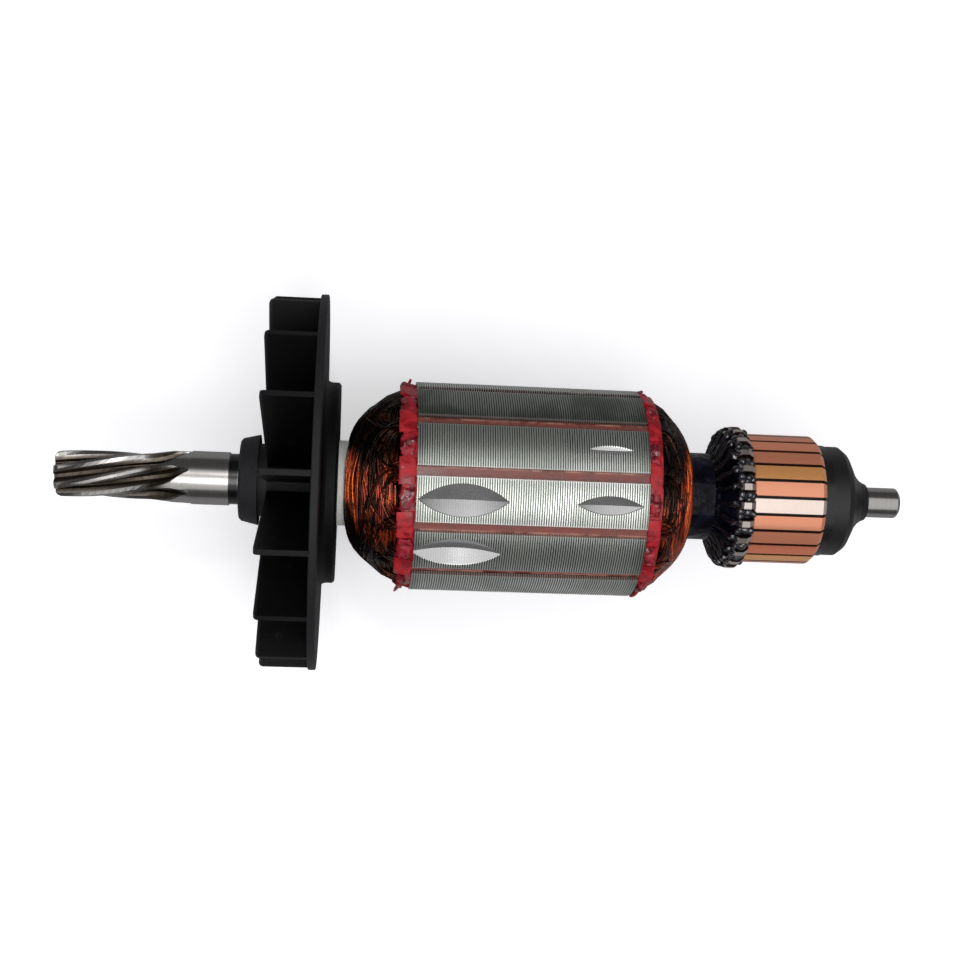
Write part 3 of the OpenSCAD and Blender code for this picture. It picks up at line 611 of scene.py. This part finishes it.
def new_tree(name, sizes):
    """A Geometry Nodes tree with named sizes, from one mesh to one mesh."""
    tree = bpy.data.node_groups.new(name, "GeometryNodeTree")
    tree.interface.new_socket("Lines", in_out="INPUT", socket_type="NodeSocketGeometry")
    for label, (kind, start) in sizes.items():
        socket = tree.interface.new_socket(label, in_out="INPUT", socket_type=kind)
        if start is not None:
            socket.default_value = start
    tree.interface.new_socket("Pieces", in_out="OUTPUT", socket_type="NodeSocketGeometry")
    wiring = Wiring(tree)
    return tree, wiring, wiring.put("NodeGroupInput"), wiring.put("NodeGroupOutput")


def sweep(wiring, given, profile):
    """Sweeps a closed profile along every line and closes the ends."""
    curve = wiring.put("GeometryNodeMeshToCurve", {"Mesh": given.outputs["Lines"]}).outputs[0]
    return wiring.put("GeometryNodeCurveToMesh", {
        "Curve": curve, "Profile Curve": profile, "Fill Caps": True
    }).outputs[0]


def dent(wiring, pieces, scale, detail, amount):
    """Pushes every point of the pieces a little by a noise."""
    noise = wiring.put("ShaderNodeTexNoise", {
        "Vector": wiring.put("GeometryNodeInputPosition").outputs[0],
        "Scale": scale, "Detail": detail,
    }).outputs["Color"]
    centred = wiring.vector("SUBTRACT", {0: noise, 1: (0.5, 0.5, 0.5)})[0]
    push = wiring.vector("SCALE", {0: centred, "Scale": amount})[0]
    return wiring.put("GeometryNodeSetPosition", {"Geometry": pieces, "Offset": push}).outputs[0]


def give_out(wiring, given, out, pieces):
    """Smooths the pieces, makes them real and gives them their finish."""
    smooth = wiring.put("GeometryNodeSetShadeSmooth", {"Geometry": pieces}).outputs[0]
    single = wiring.put("GeometryNodeRealizeInstances", {"Geometry": smooth}).outputs[0]
    wiring.feed(out.inputs[0], wiring.put("GeometryNodeSetMaterial", {
        "Geometry": single, "Material": given.outputs["Finish"]
    }).outputs[0])


def make_wire_tree():
    """Sweeps a round wire along every line."""
    tree, wiring, given, out = new_tree("wound wire", {
        "Wire radius": ("NodeSocketFloat", 0.25 * MM),
        "Sides": ("NodeSocketInt", 6),
        "Finish": ("NodeSocketMaterial", None),
    })
    ring = wiring.put("GeometryNodeCurvePrimitiveCircle", {
        "Resolution": given.outputs["Sides"], "Radius": given.outputs["Wire radius"]
    }).outputs["Curve"]
    give_out(wiring, given, out, sweep(wiring, given, ring))
    return tree


def make_fold_tree():
    """Sweeps a flat strip with rounded edges along every line and crumples it."""
    tree, wiring, given, out = new_tree("crumpled fold", {
        "Half width": ("NodeSocketFloat", 1.5 * MM),
        "Half thickness": ("NodeSocketFloat", 0.5 * MM),
        "Crumple": ("NodeSocketFloat", 0.6 * MM),
        "Crumple scale": ("NodeSocketFloat", 900.0),
        "Finish": ("NodeSocketMaterial", None),
    })
    square = wiring.put("GeometryNodeCurvePrimitiveQuadrilateral", {
        "Width": 2.0, "Height": 2.0
    }).outputs[0]
    rounded = wiring.put("GeometryNodeFilletCurve", {
        "Curve": square, "Radius": 0.45, "Count": 4
    }, mode="POLY").outputs[0]
    ring = wiring.put("GeometryNodeResampleCurve", {"Curve": rounded, "Count": 24}).outputs[0]
    scale = wiring.put("ShaderNodeCombineXYZ", {
        "X": given.outputs["Half width"], "Y": given.outputs["Half thickness"], "Z": 1.0
    }).outputs[0]
    profile = wiring.put("GeometryNodeTransform", {"Geometry": ring, "Scale": scale}).outputs[0]
    strip = sweep(wiring, given, profile)
    crumpled = dent(wiring, strip, given.outputs["Crumple scale"], 2.0, given.outputs["Crumple"])
    give_out(wiring, given, out, crumpled)
    return tree


def make_knob_tree():
    """Sets a lump of resin on every point, each with its own size and dents."""
    tree, wiring, given, out = new_tree("resin knobs", {
        "Knob radius": ("NodeSocketFloat", 0.9 * MM),
        "Dents": ("NodeSocketFloat", 0.3 * MM),
        "Finish": ("NodeSocketMaterial", None),
    })
    ball = wiring.put("GeometryNodeMeshIcoSphere", {"Radius": 1.0, "Subdivisions": 3}).outputs[0]
    spread = wiring.put(
        "FunctionNodeRandomValue", {2: 0.78, 3: 1.15, "Seed": 5}, data_type="FLOAT"
    ).outputs[1]
    placed = wiring.put("GeometryNodeInstanceOnPoints", {
        "Points": given.outputs["Lines"], "Instance": ball,
        "Scale": wiring.times(spread, given.outputs["Knob radius"]),
    }).outputs[0]
    single = wiring.put("GeometryNodeRealizeInstances", {"Geometry": placed}).outputs[0]
    give_out(wiring, given, out, dent(wiring, single, 800.0, 1.0, given.outputs["Dents"]))
    return tree


WIRE_TREE = make_wire_tree()
FOLD_TREE = make_fold_tree()
KNOB_TREE = make_knob_tree()


def lines_object(name, lines):
    """A mesh of open lines; each line is (points in millimetres, one tone or one a point)."""
    points, edges, tones = [], [], []
    for route, tone in lines:
        start = len(points)
        points += [Vector(p) * MM for p in route]
        tones += tone if isinstance(tone, list) else [tone] * len(route)
        edges += [(i, i + 1) for i in range(start, len(points) - 1)]
    mesh = bpy.data.meshes.new(name)
    mesh.from_pydata(points, edges, [])
    mesh.attributes.new("tone", "FLOAT", "POINT").data.foreach_set("value", tones)
    made = bpy.data.objects.new(name, mesh)
    bpy.context.scene.collection.objects.link(made)
    return made


def grow(source, tree, sizes):
    """Runs a tree on an object and keeps the plain mesh that it makes."""
    modifier = source.modifiers.new("grow", "NODES")
    modifier.node_group = tree
    for item in tree.interface.items_tree:
        if item.item_type == "SOCKET" and item.in_out == "INPUT" and item.name in sizes:
            modifier[item.identifier] = sizes[item.name]
    depsgraph = bpy.context.evaluated_depsgraph_get()
    mesh = bpy.data.meshes.new_from_object(source.evaluated_get(depsgraph), depsgraph=depsgraph)
    source.modifiers.remove(modifier)
    lines = source.data
    source.data = mesh
    bpy.data.meshes.remove(lines)


def carry(piece, slot, *stands_for):
    """Lets a piece ride with the rotor and hides the solids that it stands for."""
    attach(piece, "root")
    if stands_for:
        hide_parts(*stands_for)


# ---------------------------------------------------------------- winding

LAYERS = 6
COIL_SPAN = 150.0
COIL_CROWN = 72.0
CLIMB_POWER = 0.7
DOME_BASE = 3.3
DOME_POWER = 1.2
INNER_SHARE = 0.42
WINDING_R = 19.8
REST_GAP = 0.15  # between the winding and what it rests on
LEG_BLEND = 32.0
LAYER_GAP = 0.10
BAND_W = 5.2

# A coil's two sides in their slots.
UPPER_LEG = (17.9, 21.2)
LOWER_LEG = (14.1, 17.4)
LEG_SPREAD = 0.17
TOOTH_HALF = 2.55
HALF_PITCH_SINE, HALF_PITCH_COSINE = 0.2588, 0.966

# Rows of wires in a coil: how far through its thickness, and how many.
WIRE_ROWS = ((0.96, 10), (0.62, 9), (0.25, 3))
ROW_EDGE = 0.94
WIRE_R = 0.25
WIRE_DRIFT = 0.22
ROUTE_STEPS = 24
INSIDE_SLOT = 1.5

# Wires spread over the dome in the outer layers, and loose ones that cross the others.
SPREAD_WIRES = {6: 34, 5: 22, 4: 16}
SPREAD_CROWNS = (66, 17)
SPREAD_POWER = 0.85
LOOSE_WIRES = 7
LOOSE_SPANS = (60, 90, 120)
LOOSE_CROWNS = (24, 50)
LOOSE_TONE = 0.55

# Where the painted lit bands lie on the wires, by end of the core: at the inner radius, and
# further outward.
LIT_BAND_MIDDLE = {-1: (8.0, -14.0), 1: (-4.0, -46.0)}
LIT_BAND_HALF = {-1: (18.0, 24.0), 1: (42.0, 30.0)}
LIT_BAND_EDGE = 16
INNER_R = {-1: 11.5, 1: 14.0}
OUTWARD = 5
OUTER_TONE = 0.80
CLEAN_TONES = {6: 0.98, 5: 0.80, 4: 0.64}
DEEP_TONE = 0.3
DARK_TONE = 0.16
HEART_TONE = 0.02


def dome_foot(side):
    """Radius of the winding's foot on the sleeve or on the bound neck."""
    return (SLEEVE_R if side < 0 else BINDING_R) + REST_GAP


def dome_reach(side, layer):
    """How far a layer reaches out from the foot at the core's face."""
    return (WINDING_R - dome_foot(side)) * mix(INNER_SHARE, 1, layer / LAYERS)


def dome_height(side, layer):
    """How far a layer reaches along the shaft."""
    overhang = CORE_START - FAN_COIL_TIP if side < 0 else BAR_COIL_TIP - CORE_END
    return (overhang + REST_GAP - DOME_BASE) * layer / LAYERS


def dome_point(side, layer, up, angle):
    """A point of the winding's end, by its layer, its climb and its angle round the shaft."""
    climb = math.radians(up)
    radius = dome_foot(side) + dome_reach(side, layer) * max(0.0, math.cos(climb)) ** DOME_POWER
    away = DOME_BASE + dome_height(side, layer) * max(0.0, math.sin(climb)) ** DOME_POWER
    y, z = across_shaft(radius, angle)
    return Vector((past_core(side, away), y, z))


def leg_point(station, top, sideways, through, angle):
    """A point of a coil side where it enters its slot."""
    radius = mix(*(UPPER_LEG if top else LOWER_LEG), through)
    slot_half = (radius * HALF_PITCH_SINE - TOOTH_HALF) / HALF_PITCH_COSINE
    half = min(radius * LEG_SPREAD, slot_half)
    y, z = across_shaft(radius, angle)
    aside_y, aside_z = across_shaft(sideways * half, angle + 90)
    return Vector((station, y + aside_y, z + aside_z))


def climb_angle(share, crown):
    """How far up the dome a coil is, in degrees, with its crown halfway."""
    return crown * max(0.0, math.sin(math.pi * min(1.0, max(0.0, share)))) ** CLIMB_POWER


def coil_point(side, layer, start, share, sideways, through, crown=COIL_CROWN, span=COIL_SPAN):
    """A point on a coil's end turn, from its first slot at 0 to its second at 1."""
    step = 0.01
    up = climb_angle(share, crown)
    angle = start + span * ease(share)
    up_rate = climb_angle(share + step, crown) - climb_angle(share - step, crown)
    angle_rate = span * (ease(share + step) - ease(share - step))
    reach_here = dome_reach(side, layer - 0.5)
    height_here = dome_height(side, layer - 0.5)
    climb = math.radians(up)
    up_size = math.hypot(reach_here * math.sin(climb), height_here * math.cos(climb))
    round_size = dome_foot(side) + reach_here * max(0.0, math.cos(climb)) ** DOME_POWER
    up_move, round_move = up_rate * up_size, angle_rate * round_size
    move = max(1e-4, math.hypot(up_move, round_move))
    offset = sideways * BAND_W / 2
    height = mix(layer - 1 + LAYER_GAP, layer - LAYER_GAP, through)
    dome_up = min(89.0, max(0.0, up - math.degrees(offset * round_move / move / up_size)))
    dome_angle = angle + math.degrees(offset * up_move / move / round_size)
    first = share < 0.5
    top = layer > 1 if first else layer == LAYERS
    leg_angle = start + (0 if first else span)
    station = dome_point(side, height, up, angle).x
    in_leg = leg_point(station, top, sideways * (1 if first else -1), through, leg_angle)
    on_dome = dome_point(side, height, dome_up, dome_angle)
    return in_leg.lerp(on_dome, ease(up / min(LEG_BLEND, 0.75 * crown)))


def wander(seed, share):
    """Slow sideways drift of a wire along its coil."""
    spin = random.Random(seed)
    waves = [
        (spin.uniform(0.5, 1.0), spin.uniform(1.0, 4.0), spin.uniform(0, ROUGH_TURN))
        for _ in range(3)
    ]
    return sum(size * math.sin(rate * share * ROUGH_TURN + late) for size, rate, late in waves) / 3


def painted_light(side, point):
    """How much painted light the wires carry at a place: two opposite lit bands, one facing the
    lamps, and varnish with painted shade between them.
    """
    angle = math.degrees(math.atan2(point[1], point[2]))
    outward = ease((math.hypot(point[1], point[2]) - INNER_R[side]) / OUTWARD)
    middle = mix(*LIT_BAND_MIDDLE[side], outward)
    turn = (angle - middle + 90) % 180 - 90
    past_edge = (abs(turn) - mix(*LIT_BAND_HALF[side], outward)) / LIT_BAND_EDGE
    return (1 - ease(past_edge)) * mix(1.0, OUTER_TONE, outward)


def wire_route(side, layer, start, sideways, through, crown, seed, span=COIL_SPAN):
    """One wire from inside its first slot, over the end of the core, to inside its second."""
    route = []
    for k in range(ROUTE_STEPS + 1):
        share = k / ROUTE_STEPS
        drift = wander(seed, share) * WIRE_DRIFT * math.sin(math.pi * share)
        route.append(coil_point(side, layer, start, share, sideways + drift, through, crown, span))
    inside = past_core(side, -INSIDE_SLOT)
    return [Vector((inside, *route[0].yz)), *route, Vector((inside, *route[-1].yz))]


def tones_along(side, route, base, dark):
    """A wire's tone at each of its points, between its dark and its clean tone as the painted
    light falls.
    """
    # Painted light and shade: the tone follows lit bands set by the angle round the shaft.
    tones = [mix(dark, base, painted_light(side, point)) for point in route]
    return [min(1.0, max(HEART_TONE, tone)) for tone in tones]


def coil_place(number):
    """A coil's layer and the angle of its first slot; two coils lie opposite in each layer."""
    layer = (number - 1) % LAYERS + 1
    opposite = 180 if number > LAYERS else 0
    return layer, FIRST_SLOT + 2 * SLOT_PITCH - (layer - 1) * SLOT_PITCH + opposite


def coil_wires(number):
    """The visible wires of one coil over both ends of the core."""
    layer, start = coil_place(number)
    spin = random.Random(100 + number)
    clean = CLEAN_TONES.get(layer, DEEP_TONE)
    lines = []
    for side in (-1, 1):
        for row, (through, count) in enumerate(WIRE_ROWS):
            for i in range(count):
                sideways = -ROW_EDGE + 2 * ROW_EDGE * i / (count - 1)
                seed = number * 1000 + row * 100 + i + (50 if side > 0 else 0)
                lift = through + spin.uniform(-0.10, 0.12)
                route = wire_route(side, layer, start, sideways, lift, COIL_CROWN, seed)
                tone = spin.gauss(clean, 0.14) - 0.08 * row
                dark = spin.gauss(DARK_TONE, 0.05)
                lines.append((route, tones_along(side, route, tone, dark)))
        for i in range(SPREAD_WIRES.get(layer, 0)):
            low_share = ((i + 0.5) / SPREAD_WIRES[layer]) ** SPREAD_POWER
            crown = mix(*SPREAD_CROWNS, low_share) + spin.uniform(-3, 3)
            seed = number * 2000 + i + (500 if side > 0 else 0)
            lift = spin.uniform(0.45, 1.0) - 0.25 * (LAYERS - layer)
            sideways = spin.uniform(-0.8, 0.8)
            route = wire_route(side, LAYERS, start, sideways, lift, crown, seed)
            tone = spin.gauss(clean * (0.9 if i // 4 % 3 else 0.35), 0.16)
            dark = spin.gauss(DARK_TONE, 0.06)
            lines.append((route, tones_along(side, route, tone, dark)))
        for i in range(LOOSE_WIRES):
            seed = number * 3000 + i + (500 if side > 0 else 0)
            span = spin.choice(LOOSE_SPANS) * spin.choice((-1, 1))
            crown = spin.uniform(*LOOSE_CROWNS)
            sideways, lift = spin.uniform(-0.7, 0.7), spin.uniform(0.8, 1.05)
            route = wire_route(side, LAYERS, start, sideways, lift, crown, seed, span)
            tone, dark = spin.gauss(LOOSE_TONE, 0.2), spin.gauss(DARK_TONE, 0.08)
            lines.append((route, tones_along(side, route, tone, dark)))
    return lines


def coil_heart(number):
    """The varnished heart of a coil, closed through both of its slots."""
    layer, start = coil_place(number)
    outline = (
        (-0.8, 0.3), (-0.55, 0.12), (0.55, 0.12), (0.8, 0.3),
        (0.8, 0.62), (0.55, 0.78), (-0.55, 0.78), (-0.8, 0.62),
    )
    shares = [k / ROUTE_STEPS for k in range(ROUTE_STEPS + 1)]
    rings = [(1, share) for share in shares] + [(-1, share) for share in reversed(shares)]
    points = [
        coil_point(side, layer, start, share, sideways, through) * MM
        for side, share in rings for sideways, through in outline
    ]
    sides, count = len(outline), len(rings)
    faces = []
    for i in range(count):
        here, beyond = i * sides, (i + 1) % count * sides
        for j in range(sides):
            k = (j + 1) % sides
            faces.append((here + j, here + k, beyond + k, beyond + j))
    mesh = bpy.data.meshes.new(f"coil_heart_{number:02d}")
    mesh.from_pydata(points, [], faces)
    tones = [HEART_TONE] * len(points)
    mesh.attributes.new("tone", "FLOAT", "POINT").data.foreach_set("value", tones)
    mesh.materials.append(FINISHES["winding_wire"])
    mesh.shade_smooth()
    return mesh


def join_mesh(piece, mesh):
    """Adds a mesh to a piece's own, keeping its attributes."""
    holder = bpy.data.objects.new(mesh.name, mesh)
    bpy.context.scene.collection.objects.link(holder)
    with bpy.context.temp_override(
        active_object=piece, selected_editable_objects=[piece, holder], object=piece
    ):
        bpy.ops.object.join()


def wind_coils():
    for number in range(1, 2 * LAYERS + 1):
        piece = lines_object(f"wires_coil_{number:02d}", coil_wires(number))
        grow(piece, WIRE_TREE, {
            "Wire radius": WIRE_R * MM, "Sides": 5, "Finish": FINISHES["winding_wire"]
        })
        join_mesh(piece, coil_heart(number))
        carry(piece, "winding_wire", f"coil_{number:02d}")


# ---------------------------------------------------------------- leads

LEAD_START, LEAD_END = BINDING_END - 2.0, HOOKS_START + 0.5
LEAD_START_R = 9.15
LEAD_END_R = HOOK_R - 0.75
LEAD_DRIFT = 0.8
LEAD_STEPS = 18
LEAD_TWISTS = 1.6
STRAND_OFFSET = 0.29
STRAND_R = 0.34

# Lumps of resin at each hook: station from the hooks' start, radius, and degrees from the bar.
RESIN_LUMPS = (
    (-0.9, 14.9, 0.0), (0.3, 15.1, 5.7), (0.5, 15.1, 9.3),
    (1.7, 15.2, 5.9), (1.9, 15.2, 9.1), (3.0, 14.9, 7.5),
)
LUMP_R = 0.95
LUMP_DENTS = 0.5


def lead_route(angle, seed):
    """Two strands twisted round each other from the bound neck to a hook."""
    spin = random.Random(seed)
    phase = spin.uniform(0, ROUGH_TURN)
    strands = []
    for strand in (0, 1):
        route = []
        for k in range(LEAD_STEPS + 1):
            share = k / LEAD_STEPS
            station = mix(LEAD_START, LEAD_END, share)
            twist = phase + share * ROUGH_TURN * LEAD_TWISTS + strand * math.pi
            radius = mix(LEAD_START_R, LEAD_END_R, ease((share - 0.25) / 0.6))
            radius += STRAND_OFFSET * math.cos(twist)
            drift = wander(seed, share) * LEAD_DRIFT * math.sin(math.pi * share)
            aside = math.degrees(STRAND_OFFSET * math.sin(twist) / radius)
            y, z = across_shaft(radius, angle + aside + drift)
            route.append((station, y, z))
        strands.append((route, spin.uniform(0.1, 0.9)))
    return strands


def bar_angle(number):
    """Angle of a bar's middle."""
    return FIRST_BAR_GAP + (number + 0.5) * BAR_PITCH


def twist_leads():
    lines = []
    for i in range(BAR_COUNT):
        lines += lead_route(bar_angle(i), 300 + i)
    piece = lines_object("twisted_leads", lines)
    grow(piece, WIRE_TREE, {
        "Wire radius": STRAND_R * MM, "Sides": 8, "Finish": FINISHES["lead_wire"]
    })
    carry(piece, "lead_wire", "coil_leads")


def drop_resin():
    """Lumps of resin where the leads meet the hooks, and between the hooks."""
    spin = random.Random(21)
    points = []
    for i in range(BAR_COUNT):
        for station, radius, turn in RESIN_LUMPS:
            lump_r = radius + spin.uniform(-0.15, 0.1)
            y, z = across_shaft(lump_r, bar_angle(i) + turn + spin.uniform(-0.8, 0.8))
            points.append((HOOKS_START + station + spin.uniform(-0.2, 0.2), y, z))
    piece = lines_object("hook_resin", [(points, 1.0)])
    grow(piece, KNOB_TREE, {
        "Knob radius": LUMP_R * MM, "Dents": LUMP_DENTS * MM, "Finish": FINISHES["resin_beads"]
    })
    carry(piece, "winding_resin")


# ---------------------------------------------------------------- folded liner ends

STRIP_STEPS = 12
STRIP_GAP = 0.15  # between a strip and the core's face
CUFF_HALF_WIDTHS = ((-1, "fan_end", 1.9), (1, "commutator_end", 1.45))
FOLD_NARROWER = 0.2
CUFF = {"half_span": 7.4, "middle_r": 22.62, "dip": 0.12}
FOLD = {"half_span": 5.6, "middle_r": 22.3, "dip": 0.4}
CUFF_SIZES = {"Half thickness": 0.30 * MM, "Crumple": 0.35 * MM, "Crumple scale": 420.0}
FOLD_SIZES = {"Half thickness": 0.70 * MM, "Crumple": 2.2 * MM, "Crumple scale": 900.0}


def strip_routes(side, half_width, first, half_span, middle_r, dip):
    """A line round the rotor for each slot pitch, lower by a dip at its two ends."""
    spin = random.Random(7)
    lines = []
    for i in range(SLOT_COUNT):
        station = past_core(side, half_width + STRIP_GAP + spin.uniform(-0.1, 0.1))
        route = []
        for k in range(STRIP_STEPS + 1):
            share = k / STRIP_STEPS * 2 - 1
            radius = middle_r - dip * share * share + spin.uniform(-0.05, 0.05)
            y, z = across_shaft(radius, first + i * SLOT_PITCH + share * half_span)
            route.append((station + spin.uniform(-0.06, 0.06), y, z))
        lines.append((route, 1.0))
    return lines


def add_strips(name, lines, half_width, finish, sizes):
    piece = lines_object(name, lines)
    grow(piece, FOLD_TREE, {**sizes, "Half width": half_width * MM, "Finish": FINISHES[finish]})
    carry(piece, "red_board")


def fold_liners():
    """Flat cuffs of the liners over each slot, and crumpled board under resin between them."""
    for side, end, half_width in CUFF_HALF_WIDTHS:
        cuffs = strip_routes(side, half_width, FIRST_SLOT, **CUFF)
        add_strips(f"{end}_cuffs", cuffs, half_width, "red_board", CUFF_SIZES)
        narrower = half_width - FOLD_NARROWER
        folds = strip_routes(side, narrower, FIRST_SLOT + SLOT_PITCH / 2, **FOLD)
        add_strips(f"{end}_folds", folds, narrower, "red_folds", FOLD_SIZES)


# ---------------------------------------------------------------- camera and light

CAMERA_SPOT = Vector((31.0, 2.27, 336.0)) * MM
CAMERA_LEAN, CAMERA_ROLL = 4.94, 2.15
CAMERA_LENS, SENSOR_WIDTH = 55.73, 36
CAMERA_CLIP = (0.01, 20)

# Each lamp's name, spot, target, side in metres and power in watts.
LAMPS = (
    ("overhead", (0.06, -0.10, 0.62), (0.06, -0.02, 0), 1.15, 3.4),
    ("skylight", (0.05, -0.13, 0.58), (0.06, 0, 0), 0.26, 0.80),
    ("glint", (0.02, 0.20, 0.60), (0.06, 0, 0), 0.04, 0.24),
)
ROOM_ON_DULL = 0.34
ROOM_ON_GLOSS = 0.09
FLOOR_HALF = 3.0
FLOOR_GAP = 0.0015
FLOOR_GLOW = 0.34
GLOW_FROM, GLOW_FULL = 260.0, 700.0  # millimetres from the origin


def place_camera():
    """Looks down on the rotor from above its middle, leaning a little towards the commutator."""
    lean, roll = math.radians(CAMERA_LEAN), math.radians(CAMERA_ROLL)
    forward = Vector((math.sin(lean), 0, -math.cos(lean)))
    level = Vector((math.cos(lean), 0, math.sin(lean)))
    upward = Vector((0, 1, 0))
    right = level * math.cos(roll) + upward * math.sin(roll)
    top = upward * math.cos(roll) - level * math.sin(roll)
    camera = bpy.data.objects.new("camera", bpy.data.cameras.new("camera"))
    camera.data.sensor_width = SENSOR_WIDTH
    camera.data.lens = CAMERA_LENS
    camera.data.clip_start, camera.data.clip_end = CAMERA_CLIP
    turn = Matrix((right, top, -forward)).transposed().to_4x4()
    camera.matrix_world = Matrix.Translation(CAMERA_SPOT) @ turn
    bpy.context.scene.collection.objects.link(camera)
    bpy.context.scene.camera = camera


def place_lamp(name, spot, target, size, power):
    lamp = bpy.data.lights.new(name, "AREA")
    lamp.shape, lamp.size, lamp.energy = "SQUARE", size, power
    made = bpy.data.objects.new(name, lamp)
    made.location = spot
    made.rotation_euler = (Vector(target) - Vector(spot)).to_track_quat("-Z", "Y").to_euler()
    bpy.context.scene.collection.objects.link(made)


def light_room():
    """Lamps over the rotor, and a dim room that is white where the camera looks past the part."""
    for lamp in LAMPS:
        place_lamp(*lamp)
    world = bpy.data.worlds.new("pale room")
    bpy.context.scene.world = world
    world.use_nodes = True
    w = Wiring(world.node_tree)
    w.tree.nodes.clear()
    path = w.put("ShaderNodeLightPath").outputs
    seen = w.larger(path["Is Camera Ray"], path["Is Transmission Ray"])
    dull = w.times(path["Is Diffuse Ray"], ROOM_ON_DULL)
    strength = w.larger(seen, w.larger(dull, ROOM_ON_GLOSS))
    background = w.put("ShaderNodeBackground", {"Color": rgb(1, 1, 1), "Strength": strength})
    w.feed(w.put("ShaderNodeOutputWorld").inputs["Surface"], background.outputs[0])


def lay_floor():
    """A white sheet under the rotor that keeps its soft shadow."""
    low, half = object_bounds()[0].z - FLOOR_GAP, FLOOR_HALF
    corners = [(-half, -half, low), (half, -half, low), (half, half, low), (-half, half, low)]
    mesh = bpy.data.meshes.new("floor")
    mesh.from_pydata(corners, [], [(0, 1, 2, 3)])
    floor = bpy.data.objects.new("floor", mesh)
    bpy.context.scene.collection.objects.link(floor)
    look = Finish("floor_white", Roughness=0.9, Specular_IOR_Level=0.0)
    look.surface.inputs["Emission Color"].default_value = rgb(1, 1, 1)
    w = look.wiring
    seen = w.put("ShaderNodeLightPath").outputs["Is Camera Ray"]
    away = w.length(look.group(SHAFT_PLACE)["Place"])
    glow = w.fade(away, GLOW_FROM, GLOW_FULL, FLOOR_GLOW, 1.0)
    look.drive("Base Color", w.stain(seen, rgb(0.36, 0.36, 0.37), rgb(0.90, 0.90, 0.93)))
    look.drive("Emission Strength", w.times(seen, glow))
    mesh.materials.append(look.material)


# ---------------------------------------------------------------- build

SLOTS = {part["node"]: part["material_slot"] for part in frame["record"]["subparts"]}
for name, node in frame["nodes"].items():
    for place in node.material_slots:
        place.material = FINISHES[SLOTS[name]]

wind_coils()
twist_leads()
drop_resin()
fold_liners()
place_camera()
lay_floor()
light_room()

bpy.context.scene.view_settings.view_transform = "Standard"
